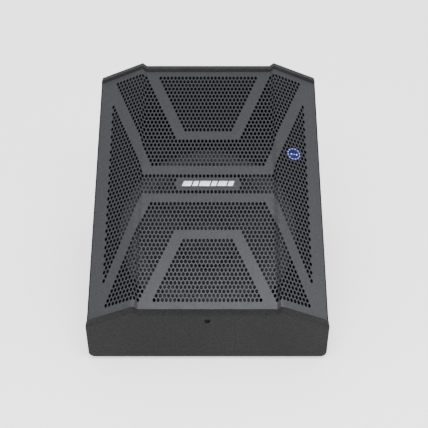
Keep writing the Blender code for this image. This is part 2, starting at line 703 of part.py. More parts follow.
def make_amplifier():
    frame = empty("panel_axis", panel_frame())
    floor = -DISH_DEPTH
    inside = floor - DISH_WALL - GAP      # just behind the dish's floor

    bm = bmesh.new()
    half_x, half_z = PANEL_HALF_X - GAP, PANEL_HALF_Z - GAP
    prism(bm, rounded_rectangle(half_x, half_z, 0.008), floor - DISH_WALL, -0.0030)
    panel = add("amp_panel", bm, BLACK_PAINT, frame)
    bm = bmesh.new()
    rim_x, rim_z = PANEL_HALF_X + FLANGE_WIDTH - GAP, PANEL_HALF_Z + FLANGE_WIDTH - GAP
    prism(bm, rounded_rectangle(rim_x, rim_z, 0.010), -REBATE + GAP, FLANGE_TOP)
    join(panel, "panel_flange", bm, frame)
    bm = bmesh.new()
    prism(bm, rounded_rectangle(half_x - DISH_WALL, half_z - DISH_WALL, 0.0065), floor, 0.01)
    cut(panel, "dish_cutter", bm, frame)
    bm = bmesh.new()
    for x, y in SOCKETS:
        rod(bm, SOCKET_RADIUS + GAP, floor - 0.01, floor + 0.01, 24, (x, y))
    for x in KNOB_X:
        rod(bm, 0.0037, floor - 0.01, floor + 0.01, 16, (x, KNOB_Y))
    for x in LIGHT_X:
        rod(bm, 0.0018, floor - 0.01, floor + 0.01, 10, (x, LIGHT_Y))
    for (x, y), half in ((INLET, INLET_HALF), (SWITCH, SWITCH_HALF), (BUTTON, BUTTON_HALF)):
        wide, tall = half[0] + GAP, half[1] + GAP
        block(bm, (x - wide, y - tall, floor - 0.01), (x + wide, y + tall, floor + 0.01))
    cut(panel, "panel_holes", bm, frame)
    x, y = SOCKETS[0]
    bm = bmesh.new()
    half = LATCH_HALF + GAP
    block(bm, (x - half, y + 0.0080, floor - 0.01), (x + half, y + 0.0143, floor + 0.01))
    cut(panel, "latch_slot", bm, frame)

    make_heatsink(frame, floor)
    bm = bmesh.new()
    cover_x, cover_z = PANEL_HALF_X - 0.003, PANEL_HALF_Z - 0.003
    prism(bm, rounded_rectangle(cover_x, cover_z, 0.006), inside - COVER_DEPTH, inside)
    cover = add("amp_cover", bm, ZINC, frame)
    bm = bmesh.new()
    room = rounded_rectangle(cover_x - COVER_WALL, cover_z - COVER_WALL, 0.005)
    prism(bm, room, inside - COVER_DEPTH + COVER_WALL, inside + 0.01)
    cut(cover, "cover_cutter", bm, frame)
    bm = bmesh.new()
    prism(bm, circle(0.005, 12, (CABLE_X, inside - CABLE_DROP)), 0.05, 0.09, "y")
    cut(cover, "cable_hole_cutter", bm, frame)

    level = inside - CIRCUIT_DROP
    bm = bmesh.new()
    block(bm, (-0.118, -0.062, level), (0.004, 0.062, level + CIRCUIT_THICK))
    add("amp_board", bm, CIRCUIT, frame)
    bm = bmesh.new()
    block(bm, (0.010, -0.062, level), (0.118, 0.062, level + CIRCUIT_THICK))
    supply = add("power_supply_board", bm, CIRCUIT, frame)
    bm = bmesh.new()
    for x in CAPACITOR_X:
        rod(bm, CAPACITOR_RADIUS, level - CAPACITOR_LENGTH, level + 0.0005, 20, (x, -0.030))
    join(supply, "reservoir_capacitors", bm, frame)

    make_sockets(frame, floor)
    make_controls(frame, floor, inside)
    make_switch(frame, floor)


def make_heatsink(frame, floor):
    """Upright fins on a base that is fixed to the dish's floor."""
    base = floor + GAP
    root = base + HEATSINK_BASE
    outline = [(HEATSINK_RIGHT, base)]
    pitch = (HEATSINK_RIGHT - HEATSINK_LEFT - FIN) / (FIN_COUNT - 1)
    for i in range(FIN_COUNT):
        right = HEATSINK_RIGHT - i * pitch
        outline += [(right, FIN_TOP), (right - FIN, FIN_TOP)]
        if i < FIN_COUNT - 1:
            outline += [(right - FIN, root), (right - pitch, root)]
    outline.append((HEATSINK_LEFT, base))
    bm = bmesh.new()
    prism(bm, outline, -0.058, 0.058, "y")
    add("heatsink", bm, BLACK_SCREW, frame)


def make_sockets(frame, floor):
    """Input and link sockets, and the mains inlet."""
    face = floor + GAP
    for name, (x, y) in zip(("input_socket", "link_socket"), SOCKETS):
        bm = bmesh.new()
        rod(bm, SOCKET_RADIUS, floor - 0.0220, face + 0.0010, 24, (x, y))
        socket = add(name, bm, BLACK_PLASTIC, frame)
        bm = bmesh.new()
        plate = [(x + u, y + v) for u, v in rounded_rectangle(0.0130, 0.0155, 0.003)]
        prism(bm, plate, face, face + 0.0020)
        join(socket, name + "_plate", bm, frame)
        bm = bmesh.new()
        if name == "input_socket":
            turn(bm, [(0.0076, floor - 0.0140), (0.0096, floor - 0.0140), (0.0096, floor + 0.01),
                      (0.0076, floor + 0.01)], 24, (x, y))
            for i in range(3):
                angle = TAU * (i / 3 + 0.25)
                rod(bm, 0.0017, floor - 0.0120, floor + 0.01, 10,
                    (x + 0.0042 * math.cos(angle), y + 0.0042 * math.sin(angle)))
            half = LATCH_HALF + GAP
            block(bm, (x - half, y + 0.0100, floor - 0.0120), (x + half, y + 0.0143, floor + 0.01))
        else:
            rod(bm, 0.0098, floor - 0.0150, floor + 0.01, 24, (x, y))
        cut(socket, name + "_cutter", bm, frame)
    x, y = SOCKETS[0]
    bm = bmesh.new()
    low = (x - LATCH_HALF, y + 0.0103, floor - 0.0090)
    block(bm, low, (x + LATCH_HALF, y + 0.0140, floor + 0.0040))
    add("input_latch_tab", bm, ZINC, frame)
    x, y = SOCKETS[1]
    bm = bmesh.new()
    for i in range(3):
        angle = TAU * (i / 3 + 0.25)
        rod(bm, 0.0012, floor - 0.0170, floor - 0.0020, 10,
            (x + 0.0042 * math.cos(angle), y + 0.0042 * math.sin(angle)))
    join(bpy.data.objects["link_socket"], "link_pins", bm, frame)

    x, y = INLET
    bm = bmesh.new()
    half_x, half_y = INLET_HALF
    block(bm, (x - half_x, y - half_y, floor - 0.0210), (x + half_x, y + half_y, face + 0.0010))
    inlet = add("mains_inlet", bm, BLACK_PLASTIC, frame)
    bm = bmesh.new()
    block(bm, (x - 0.0245, y - 0.0118, face), (x + 0.0245, y + 0.0118, face + 0.0025))
    join(inlet, "inlet_plate", bm, frame)
    bm = bmesh.new()
    mouth = [(-0.0120, 0.0080), (-0.0120, -0.0040), (-0.0080, -0.0080), (0.0080, -0.0080),
             (0.0120, -0.0040), (0.0120, 0.0080)]
    prism(bm, [(x + u, y + v) for u, v in mouth], floor - 0.0170, floor + 0.01)
    cut(inlet, "inlet_cutter", bm, frame)
    bm = bmesh.new()
    for u, v in ((-0.007, -0.002), (0, 0.002), (0.007, -0.002)):
        low = (x + u - 0.001, y + v - 0.002, floor - 0.0180)
        block(bm, low, (x + u + 0.001, y + v + 0.002, floor - 0.0030))
    join(inlet, "inlet_blades", bm, frame)


def make_controls(frame, floor, inside):
    """Turning knobs, the ground-lift button, and the board that carries their parts and the lights."""
    back = inside - 0.0120
    bm = bmesh.new()
    outline = [(0.014, -0.011), (0.116, -0.011), (0.116, 0.060), (0.090, 0.060), (0.090, 0.034),
               (0.090, 0.018), (0.014, 0.018)]
    prism(bm, outline, back - CIRCUIT_THICK, back)
    board = add("control_board", bm, CIRCUIT, frame)
    bm = bmesh.new()
    for name, x in zip(KNOBS, KNOB_X):
        turn(bm, [(0.0027, back - 0.0005), (0.0080, back - 0.0005), (0.0080, inside),
                  (0.0034, inside), (0.0034, floor + 0.0010), (0.0027, floor + 0.0010)],
             20, (x, KNOB_Y))
    for x in LIGHT_X:
        rod(bm, 0.0015, back - 0.0005, floor + 0.0010, 10, (x, LIGHT_Y))
    join(board, "board_parts", bm, frame)
    x, y = BUTTON
    bm = bmesh.new()
    turn(bm, [(0.0042, back - 0.0005), (0.0056, back - 0.0005), (0.0056, inside), (0.0042, inside)],
         16, (x, y))
    join(board, "button_guide", bm, frame)
    bm = bmesh.new()
    half = BUTTON_HALF[0]
    block(bm, (x - half, y - half, inside - 0.0040), (x + half, y + half, floor + 0.0045))
    add("ground_lift_button", bm, RUBBER, frame)
    for name, x in zip(KNOBS, KNOB_X):
        holder = empty(name + "_axis", frame.matrix_world @ Matrix.Translation((x, KNOB_Y, 0)))
        bm = bmesh.new()
        turn(bm, [(0, back + 0.0010), (0.0024, back + 0.0010), (0.0024, floor + 0.0015),
                  (0.0085, floor + 0.0015), (0.0085, floor + 0.0050), (0.0072, floor + 0.0150),
                  (0.0066, floor + 0.0156), (0, floor + 0.0156)], 20)
        knob = add(name, bm, BLACK_PLASTIC, holder, smooth=True)
        bm = bmesh.new()
        block(bm, (-0.0006, 0.0010, floor + 0.0140), (0.0006, 0.0088, floor + 0.0162))
        join(knob, name + "_pointer", bm, holder)


def make_switch(frame, floor):
    """A rocker in its frame, resting at one end of its travel."""
    x, y = SWITCH
    face = floor + GAP
    bm = bmesh.new()
    half_x, half_y = SWITCH_HALF
    block(bm, (x - half_x, y - half_y, floor - 0.0150), (x + half_x, y + half_y, face + 0.0010))
    bezel = add("power_switch_frame", bm, BLACK_PLASTIC, frame)
    bm = bmesh.new()
    block(bm, (x - 0.0115, y - 0.0080, face), (x + 0.0115, y + 0.0080, face + 0.0020))
    join(bezel, "switch_plate", bm, frame)
    bm = bmesh.new()
    room_x, room_y = half_x - 0.0009, half_y - 0.0007
    block(bm, (x - room_x, y - room_y, floor - 0.0120), (x + room_x, y + room_y, floor + 0.01))
    cut(bezel, "switch_cutter", bm, frame)
    tilt = Matrix.Rotation(math.radians(ROCKER_TILT), 4, "Y")
    place = frame.matrix_world @ Matrix.Translation((x, y, floor + 0.0010)) @ tilt
    holder = empty("power_rocker_axis", place)
    bm = bmesh.new()
    outline = [(-0.0080, -0.0010), (-0.0076, 0.0034), (0, 0.0020), (0.0076, 0.0034),
               (0.0080, -0.0010), (0.0040, -0.0060), (-0.0040, -0.0060)]
    prism(bm, outline, -0.0053, 0.0053, "y")
    add("power_rocker", bm, BLACK_PLASTIC, holder)


def make_feet():
    for end, y in (("front", -FOOT_Y), ("rear", FOOT_Y)):
        for side, x in (("left", -FOOT_X), ("right", FOOT_X)):
            bm = bmesh.new()
            turn(bm, [(0, 0.0), (0.0115, 0.0), (0.0125, 0.0010), (0.0140, FOOT_HEIGHT - GAP),
                      (0, FOOT_HEIGHT - GAP)], 24, (x, y))
            add(f"foot_{end}_{side}", bm, RUBBER, smooth=True)


def make_cable():
    """The lead from the amplifier's cover to the driver's terminals, held at both ends."""
    panel = panel_frame()
    driver = driver_frame()
    inside = -DISH_DEPTH - DISH_WALL - GAP
    leave = panel @ Vector((CABLE_X, 0.0672, inside - CABLE_DROP))
    arrive = driver @ Vector((0, 0.1300, -0.0476))
    path = bpy.data.curves.new("driver_cable", "CURVE")
    path.dimensions = "3D"
    path.bevel_depth = 0.0022
    path.bevel_resolution = 2
    path.use_fill_caps = True
    points = []
    count = 20
    handles = (leave, leave + Vector((0, 0, 0.060)), arrive + Vector((0, 0.050, -0.020)), arrive)
    for i in range(count + 1):
        t = i / count
        weights = ((1 - t) ** 3, 3 * t * (1 - t) ** 2, 3 * t * t * (1 - t), t ** 3)
        points.append(sum((w * h for w, h in zip(weights, handles)), Vector()))
    spline = path.splines.new("POLY")
    spline.points.add(count)
    for slot, point in zip(spline.points, points):
        slot.co = (*point, 1)
    cable = bpy.data.objects.new("driver_cable", path)
    bpy.context.scene.collection.objects.link(cable)
    look = bpy.data.materials.new("driver_cable_finish")
    look.use_nodes = True
    shader = look.node_tree.nodes["Principled BSDF"]
    shader.inputs["Base Color"].default_value = (*RUBBER[0], 1)
    path.materials.append(look)


def main():
    clear_scene()
    make_end_boards()
    make_side_boards()
    make_bottom_board()
    make_baffle()
    make_grille()
    make_badges()
    make_driver()
    make_ports()
    make_handles()
    make_amplifier()
    make_feet()
    make_cable()


main()
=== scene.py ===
"""Looks of the stage monitor wedge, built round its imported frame."""

from math import atan, atan2, cos, degrees, pi, radians, sin, tan

import bmesh
import bpy
import numpy as np
from mathutils import Matrix, Vector


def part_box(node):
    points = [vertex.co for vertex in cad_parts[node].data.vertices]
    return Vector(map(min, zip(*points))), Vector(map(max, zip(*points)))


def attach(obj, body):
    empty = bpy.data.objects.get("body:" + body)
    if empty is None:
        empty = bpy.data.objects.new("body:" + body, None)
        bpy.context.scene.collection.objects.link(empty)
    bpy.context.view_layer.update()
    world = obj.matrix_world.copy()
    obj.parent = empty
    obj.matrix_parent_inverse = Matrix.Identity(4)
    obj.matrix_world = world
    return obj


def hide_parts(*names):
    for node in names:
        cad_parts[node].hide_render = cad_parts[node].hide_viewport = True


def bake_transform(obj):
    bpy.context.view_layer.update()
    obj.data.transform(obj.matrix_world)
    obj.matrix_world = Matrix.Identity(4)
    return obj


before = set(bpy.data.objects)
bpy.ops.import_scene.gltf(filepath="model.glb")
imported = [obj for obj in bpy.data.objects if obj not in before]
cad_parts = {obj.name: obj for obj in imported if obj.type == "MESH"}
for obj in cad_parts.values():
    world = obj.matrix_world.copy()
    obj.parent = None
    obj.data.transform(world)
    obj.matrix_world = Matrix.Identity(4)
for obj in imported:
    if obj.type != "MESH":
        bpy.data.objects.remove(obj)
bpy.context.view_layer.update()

# ---- places read from the frame

TAU = 2 * pi
at = Matrix.Translation


def turn(angle, axis):
    return Matrix.Rotation(angle, 4, axis)


def corners_of(node):
    """Lowest and highest corner of a node."""
    return [Vector(corner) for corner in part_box(node)]


FRONT_LOW, FRONT_HIGH = corners_of("front_board")
REAR_LOW, REAR_HIGH = corners_of("rear_board")
HALF = FRONT_HIGH.x  # half the cabinet's width
Y_FRONT, Y_IN_FRONT = FRONT_LOW.y, FRONT_HIGH.y
Y_IN_REAR, Y_REAR = REAR_LOW.y, REAR_HIGH.y
BASE = FRONT_LOW.z  # underside of the boards
LIFT = REAR_HIGH.z - FRONT_HIGH.z  # the rear board above the front one
SLOPE = atan(LIFT / (Y_IN_REAR - Y_IN_FRONT))
BOARD = Y_IN_FRONT - Y_FRONT  # thickness of the boards
GAP = 0.0003  # clearance between touching pieces

# The end boards' rims: a ridge, a valley beside it, and heights above the underside
RIDGE_X, VALLEY_X = 0.1214, 0.1144
RIDGE_RISE = FRONT_HIGH.z - BASE
CENTRE_RISE = RIDGE_RISE - 0.0063
CORNER_RISE = RIDGE_RISE - 0.0317
FACET_FALL = (RIDGE_RISE - CORNER_RISE) / (HALF - RIDGE_X)
RIM_DEPTH = 0.0055  # how far the grille lies below the rims
SHEET = 0.0015  # thickness of the grille
LIP = 0.0017  # width of the side boards' upper edge outside the grille
SIDE_EDGE = 0.01  # radius of the long bottom edges
SCREW_DROP = 0.0135  # grille screws below the middle of each rim

DRIVER_UP_SLOPE = 0.1513  # the driver's centre from the grille's front end
BAFFLE_DROP = 0.027  # the baffle's face below the grille
FRAME_TOP = 0.0086  # the driver's frame above the baffle's face
UP = Vector((0, cos(SLOPE), sin(SLOPE)))  # up the slope of the grille
OUT = Vector((0, -sin(SLOPE), cos(SLOPE)))  # out of it
GRILLE_START = Vector((0, Y_IN_FRONT, BASE + CENTRE_RISE - RIM_DEPTH))
DRIVER = at(GRILLE_START + UP * DRIVER_UP_SLOPE - OUT * BAFFLE_DROP) @ turn(SLOPE, "X")

PANEL_LOW, PANEL_HIGH = corners_of("amp_panel")
PANEL_HALF = (PANEL_HIGH - PANEL_LOW) / 2
PANEL = at((0, Y_REAR, (PANEL_LOW.z + PANEL_HIGH.z) / 2)) @ turn(-pi / 2, "X") @ turn(pi, "Z")
PANEL_CORNER = 0.01  # radius of the panel's corners
PANEL_FLOOR = PANEL @ at((0, 0, -0.03))  # on the panel's dished floor


# ---- node materials


class Look:
    """A node material with a few helpers for its graph."""

    def __init__(self, name, colour, roughness, metallic=0.0, **sockets):
        self.material = bpy.data.materials.new(name)
        self.material.use_nodes = True
        self.nodes = self.material.node_tree.nodes
        self.links = self.material.node_tree.links
        self.shader = self.nodes["Principled BSDF"]
        self.shader.inputs["Base Color"].default_value = (*colour, 1)
        self.shader.inputs["Roughness"].default_value = roughness
        self.shader.inputs["Metallic"].default_value = metallic
        for socket, value in sockets.items():
            self.shader.inputs[socket.replace("_", " ")].default_value = value
        self.place = self.nodes.new("ShaderNodeTexCoord").outputs["Object"]
        self.base = colour
        self.height = None

    def node(self, kind, place=None, **sockets):
        """Add a node, set its values and link its vector."""
        node = self.nodes.new(f"ShaderNode{kind}")
        for socket, value in sockets.items():
            node.inputs[socket.replace("_", " ")].default_value = value
        if place:
            self.links.new(place, node.inputs["Vector"])
        return node

    def noise(self, scale, detail=3.0, roughness=0.55, stretch=None):
        place = self.place
        if stretch:
            place = self.node("Mapping", place, Scale=stretch).outputs["Vector"]
        node = self.node("TexNoise", place, Scale=scale, Detail=detail, Roughness=roughness)
        return node.outputs["Fac"]

    def voronoi(self, scale, feature="F1"):
        node = self.node("TexVoronoi", self.place, Scale=scale)
        node.feature = feature
        return node.outputs["Distance"]

    def ramp(self, value, *stops):
        """Map a value through (position, colour or grey) stops."""
        node = self.node("ValToRGB")
        elements = node.color_ramp.elements
        while len(elements) < len(stops):
            elements.new(0.5)
        for element, (position, tone) in zip(elements, stops):
            element.position = position
            colour = (tone, tone, tone) if isinstance(tone, float) else tone
            element.color = (*colour, 1)
        self.links.new(value, node.inputs["Fac"])
        return node.outputs["Color"]

    def blend(self, factor, first, second, mode="MIX"):
        node = self.node("Mix")
        node.data_type = "RGBA"
        node.blend_type = mode
        for socket, value in (("A", first), ("B", second)):
            target = [i for i in node.inputs if i.name == socket and i.type == "RGBA"][0]
            if isinstance(value, bpy.types.NodeSocket):
                self.links.new(value, target)
            else:
                target.default_value = (*value, 1)
        if isinstance(factor, bpy.types.NodeSocket):
            self.links.new(factor, node.inputs[0])
        else:
            node.inputs[0].default_value = factor
        return [o for o in node.outputs if o.type == "RGBA"][0]

    def paint(self, colour):
        self.links.new(colour, self.shader.inputs["Base Color"])

    def tint(self, value, low, high):
        """Paint from low to high times the base colour."""
        self.paint(self.blend(value, shade(self.base, low), shade(self.base, high)))

    def glow(self, colour, strength):
        self.links.new(colour, self.shader.inputs["Emission Color"])
        self.shader.inputs["Emission Strength"].default_value = strength

    def gloss(self, value, low, high):
        node = self.node("MapRange", To_Min=low, To_Max=high)
        self.links.new(value, node.inputs["Value"])
        self.links.new(node.outputs["Result"], self.shader.inputs["Roughness"])

    def bump(self, value, strength, distance):
        node = self.node("Bump", Strength=strength, Distance=distance)
        self.links.new(value, node.inputs["Height"])
        if self.height is not None:
            self.links.new(self.height, node.inputs["Normal"])
        self.height = node.outputs["Normal"]
        self.links.new(self.height, self.shader.inputs["Normal"])


def shade(colour, factor):
    return tuple(min(1.0, channel * factor) for channel in colour)


def cabinet_paint():
    """Hard textured paint: pebbled skin, fine speckle, faint mottling and light scuffs."""
    base = (0.0145, 0.0145, 0.0147)
    look = Look("cabinet_paint", base, 0.6, 0.0, Specular_IOR_Level=0.1)
    mottle = look.noise(7.0, 4.0)
    colour = look.blend(look.ramp(mottle, (0.35, 0.0), (0.7, 1.0)), shade(base, 0.86), shade(base, 1.12))
    scuff = look.ramp(look.noise(26.0, 6.0, 0.7, (1.0, 1.0, 0.25)), (0.66, 0.0), (0.74, 1.0))
    gate = look.ramp(look.noise(5.0, 2.0), (0.5, 0.0), (0.66, 0.55))
    rub = look.blend(1.0, scuff, gate, "MULTIPLY")
    speckle = look.ramp(look.noise(330.0, 2.0, 0.7), (0.32, 0.7), (0.7, 1.4))
    look.paint(look.blend(1.0, look.blend(rub, colour, shade(base, 1.65)), speckle, "MULTIPLY"))
    look.gloss(mottle, 0.56, 0.7)
    look.bump(look.noise(300.0, 3.0, 0.65), 0.85, 0.0009)
    look.bump(look.voronoi(900.0), 0.3, 0.0002)
    return look.material


def grille_coat():
    """Satin powder coat on steel with a faint cool tone."""
    base = (0.0204, 0.022, 0.0266)
    look = Look("grille_coat", base, 0.42, 0.1, Specular_IOR_Level=0.4)
    mottle = look.noise(5.0)
    tone = look.blend(mottle, shade(base, 0.86), shade(base, 1.1))
    speckle = look.ramp(look.noise(420.0, 2.0, 0.7), (0.32, 0.66), (0.7, 1.28))
    look.paint(look.blend(1.0, tone, speckle, "MULTIPLY"))
    look.gloss(look.noise(60.0), 0.38, 0.52)
    look.bump(look.noise(700.0, 3.0, 0.6), 0.45, 0.0003)
    return look.material


def moulded(name, base, roughness, grain=700.0, strength=0.35, metallic=0.0):
    """Moulded plastic or rubber with a fine spark-eroded grain."""
    look = Look(name, base, roughness, metallic)
    look.tint(look.noise(18.0), 0.82, 1.2)
    look.gloss(look.noise(90.0, 2.0), roughness - 0.06, roughness + 0.08)
    look.bump(look.noise(grain, 2.0), strength, 0.0002)
    return look.material


def machined(name, base, roughness, stretch=(1.0, 1.0, 14.0)):
    """Plated, drawn or coated metal with fine streaks and handling marks."""
    look = Look(name, base, roughness, 1.0)
    streak = look.noise(120.0, 4.0, 0.6, stretch)
    look.tint(streak, 0.8, 1.12)
    look.gloss(look.noise(35.0, 5.0, 0.65), roughness - 0.08, roughness + 0.14)
    look.bump(streak, 0.12, 0.0001)
    return look.material


def cast_metal_with_painted_shade():
    """Dark coated casting with a sandy skin, darkened further as painted shade for the inside of the
    cabinet behind the grille.
    """
    look = Look("cast_metal_with_painted_shade", (0.0175, 0.018, 0.019), 0.6, 0.2, Specular_IOR_Level=0.25)
    look.tint(look.noise(30.0, 4.0), 0.78, 1.15)
    look.gloss(look.noise(70.0), 0.52, 0.68)
    look.bump(look.noise(380.0), 0.5, 0.0004)
    return look.material


def cone_paper():
    """Pressed paper: fibres under a slight mottling."""
    base = (0.02, 0.0205, 0.0215)
    look = Look("cone_paper", base, 0.86)
    fibre = look.noise(260.0, 5.0, 0.7)
    cloud = look.noise(22.0, 4.0)
    mixed = look.blend(fibre, shade(base, 0.7), shade(base, 1.3))
    look.paint(look.blend(cloud, mixed, shade(base, 0.88)))
    look.bump(fibre, 0.55, 0.0004)
    return look.material


def woven(name, base, scale=900.0):
    """Close weave from two crossing wave textures."""
    look = Look(name, base, 0.88)
    heights = []
    for direction in ("X", "Y"):
        wave = look.node("TexWave", look.place, Scale=scale, Distortion=0.8)
        wave.bands_direction = direction
        heights.append(wave.outputs["Fac"])
    weave = look.blend(0.5, heights[0], heights[1], "LIGHTEN")
    look.tint(weave, 0.55, 1.5)
    look.bump(weave, 0.5, 0.0003)
    return look.material


def circuit_board():
    """Solder mask with copper tracks showing as paler lines."""
    look = Look("circuit_board", (0.018, 0.13, 0.06), 0.38)
    cells = look.voronoi(260.0, "DISTANCE_TO_EDGE")
    track = look.ramp(cells, (0.04, 1.0), (0.08, 0.0))
    look.paint(look.blend(track, look.base, (0.1, 0.34, 0.14)))
    look.bump(track, 0.3, 0.0001)
    return look.material


def grained(name, base, roughness, grain, low, high, **sockets):
    """Board with a long grain, given as its scale, detail and stretch."""
    look = Look(name, base, roughness, 0.0, **sockets)
    height = look.noise(grain[0], grain[1], 0.6, (1.0, grain[2], 1.0))
    look.tint(height, low, high)
    look.bump(height, 0.3, 0.0003)
    return look.material


def blue_lamp():
    """Dark blue lens, faintly lit, with a fine moulded prism pattern."""
    look = Look("blue_lamp", (0.004, 0.005, 0.05), 0.38, 0.0, Specular_IOR_Level=0.12)
    prism = look.voronoi(420.0)
    tone = look.blend(prism, (0.002, 0.003, 0.028), (0.007, 0.008, 0.085))
    look.paint(tone)
    look.glow(tone, 0.35)
    look.bump(prism, 0.25, 0.0002)
    return look.material


def lamp(name, base):
    """A small light that is on."""
    look = Look(name, base, 0.25)
    tone = look.blend(look.noise(300.0), shade(base, 0.8), shade(base, 1.2))
    look.paint(tone)
    look.glow(tone, 0.5)
    return look.material


PAINT = cabinet_paint()
COAT = grille_coat()
PLASTIC = moulded("black_plastic", (0.02, 0.02, 0.021), 0.48)
KNOB = moulded("knob_plastic", (0.026, 0.026, 0.028), 0.4, 900.0, 0.2)
RUBBER = moulded("black_rubber", (0.022, 0.022, 0.022), 0.82, 300.0, 0.4)
# near-black stain, darkened further as painted shade for the inside of the cabinet behind the grille
STAIN_AND_SHADE = grained("black_stain_and_painted_shade", (0.005, 0.005, 0.0052), 0.9, (60.0, 5.0, 0.15), 0.7, 1.4,
                Specular_IOR_Level=0.06)
DULL = moulded("dull_plastic", (0.013, 0.013, 0.014), 0.78, 500.0, 0.4)
PANEL_COAT = moulded("panel_coat", (0.018, 0.018, 0.019), 0.58, 1100.0, 0.35)
ANODISED = machined("black_anodised", (0.045, 0.046, 0.05), 0.42)
OXIDE = machined("black_oxide", (0.03, 0.03, 0.032), 0.5)
ZINC = machined("zinc_plate", (0.42, 0.43, 0.45), 0.34)
MAGNET = machined("magnet_skin", (0.14, 0.14, 0.15), 0.5)
COPPER = machined("copper_winding", (0.7, 0.34, 0.17), 0.34, (1.0, 1.0, 60.0))
TITANIUM = machined("titanium_foil", (0.48, 0.48, 0.51), 0.3)
BRASS = machined("gold_contact", (0.78, 0.6, 0.24), 0.28)
# dark casting, darker still as painted shade behind the grille
CAST_AND_SHADE = cast_metal_with_painted_shade()
PAPER = cone_paper()
CLOTH = woven("doped_cloth", (0.03, 0.03, 0.032))
GAUZE = woven("horn_gauze", (0.016, 0.016, 0.017), 1400.0)
RESIN = woven("resin_cloth", (0.05, 0.034, 0.02), 1100.0)
CIRCUIT = circuit_board()
PLY = grained("plywood", (0.45, 0.31, 0.18), 0.72, (40.0, 6.0, 0.12), 0.72, 1.2)
BLUE = blue_lamp()
GREEN = lamp("green_lamp", (0.05, 0.55, 0.1))
NAVY = moulded("navy_plastic", (0.014, 0.016, 0.085), 0.4, 900.0, 0.15)
RING_BLUE = moulded("ring_blue_ink", (0.06, 0.066, 0.33), 0.45, 900.0, 0.1)
# lit dots in the pilot lens, and glowing points on its bezel that are painted glints
ICE_LAMP_AND_GLINT = lamp("ice_blue_lamp_and_painted_glint", (0.36, 0.46, 0.86))
WHITE_INK = moulded("white_ink", (0.62, 0.62, 0.62), 0.55, 800.0, 0.1)
SATIN = moulded("satin_badge", (0.74, 0.75, 0.77), 0.32, 900.0, 0.08, 0.35)


# ---- mesh helpers


def add_object(name, data):
    """Put data into the scene as an object."""
    thing = bpy.data.objects.new(name, data)
    bpy.context.scene.collection.objects.link(thing)
    return thing


def piece(name, form, look, body="cabinet", place=None, smooth=35.0,
          replaces=()):
    """Make a form into a named piece that rides on a body, or on none if it is to bend between two."""
    mesh = form if isinstance(form, bpy.types.Mesh) else mesh_from(form)
    thing = add_object(name, mesh)
    if place is not None:
        mesh.transform(place)
    if smooth:
        mesh.shade_smooth()
        mesh.set_sharp_from_angle(angle=radians(smooth))
    mesh.materials.append(look)
    if body:
        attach(thing, body)
    if replaces:
        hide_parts(*replaces)
    return thing


def mesh_from(bm):
    bmesh.ops.remove_doubles(bm, verts=bm.verts, dist=1e-6)
    bmesh.ops.recalc_face_normals(bm, faces=bm.faces)
    mesh = bpy.data.meshes.new("form")
    bm.to_mesh(mesh)
    bm.free()
    return mesh


def looped(items):
    """Each item with the one after it, back to the first."""
    return zip(items, items[1:] + items[:1])


def polar(radius, angle, centre=(0, 0)):
    return centre[0] + radius * cos(angle), centre[1] + radius * sin(angle)


def lathe(profile, steps=72, centre=(0, 0), radius_of=None, bm=None):
    """Revolve a closed (radius, height) profile about Z."""
    bm = bm or bmesh.new()
    columns = []
    for i in range(steps):
        angle = TAU * i / steps
        column = []
        for index, (radius, height) in enumerate(profile):
            r = radius_of(index, angle, radius) if radius_of else radius
            column.append(bm.verts.new((*polar(r, angle, centre), height)))
        columns.append(column)
    count = len(profile)
    for here, there in looped(columns):
        for a in range(count):
            b = (a + 1) % count
            if profile[a][0] == 0 and profile[b][0] == 0:
                continue
            if profile[a][0] == 0:
                bm.faces.new((here[a], here[b], there[b]))
            elif profile[b][0] == 0:
                bm.faces.new((here[a], here[b], there[a]))
            else:
                bm.faces.new((here[a], here[b], there[b], there[a]))
    return bm


def loft(rings, bm=None):
    """Join rings of points with quads and close both ends."""
    bm = bm or bmesh.new()
    rows = [[bm.verts.new(point) for point in ring] for ring in rings]
    for first, second in zip(rows, rows[1:]):
        for (a, d), (b, c) in looped(list(zip(first, second))):
            bm.faces.new((a, b, c, d))
    bm.faces.new(rows[0])
    bm.faces.new(rows[-1])
    return bm


def arc(centre, radius, start, end, steps):
    """Points on an arc, angles in degrees."""
    points = []
    for i in range(steps + 1):
        points.append(polar(radius, radians(start + (end - start) * i / steps), centre))
    return points


def rounded(half_x, half_y, radius, steps=8, centre=(0, 0)):
    """Outline of a rounded rectangle."""
    points = []
    for quarter, (sx, sy) in enumerate(((1, 1), (-1, 1), (-1, -1), (1, -1))):
        middle = (centre[0] + sx * (half_x - radius), centre[1] + sy * (half_y - radius))
        points += arc(middle, radius, 90 * quarter, 90 * (quarter + 1), steps)
    return points


def inset(outline, distance):
    """Move a closed counter-clockwise outline inwards by a distance."""
    count = len(outline)
    moved = []
    for i in range(count):
        before, here, after = (Vector(outline[(i + k) % count]) for k in (-1, 0, 1))
        first, second = (here - before), (after - here)
        if first.length < 1e-9 or second.length < 1e-9:
            moved.append(tuple(here))
            continue
        normals = [Vector((-edge.y, edge.x)).normalized() for edge in (first, second)]
        mitre = normals[0] + normals[1]
        mitre = mitre / max(mitre.length_squared / 2, 0.3)
        moved.append(tuple(here + mitre * distance))
    return moved


def counter_clockwise(outline):
    area = sum(a[0] * b[1] - b[0] * a[1] for a, b in looped(outline))
    return outline if area > 0 else outline[::-1]


def rounded_rim(radius, steps):
    """(depth, inset) pairs down a rounded rim, ending flush with its side."""
    if not radius:
        return [(0.0, 0.0)]
    angles = [pi / 2 * i / steps for i in range(steps + 1)]
    return [(radius * (1 - sin(angle)), radius * (1 - cos(angle))) for angle in angles]


def straight(u, v, w):
    return (u, v, w)


def across(u, v, w):
    """Outline in X and Z, extruded along Y."""
    return (u, w, v)


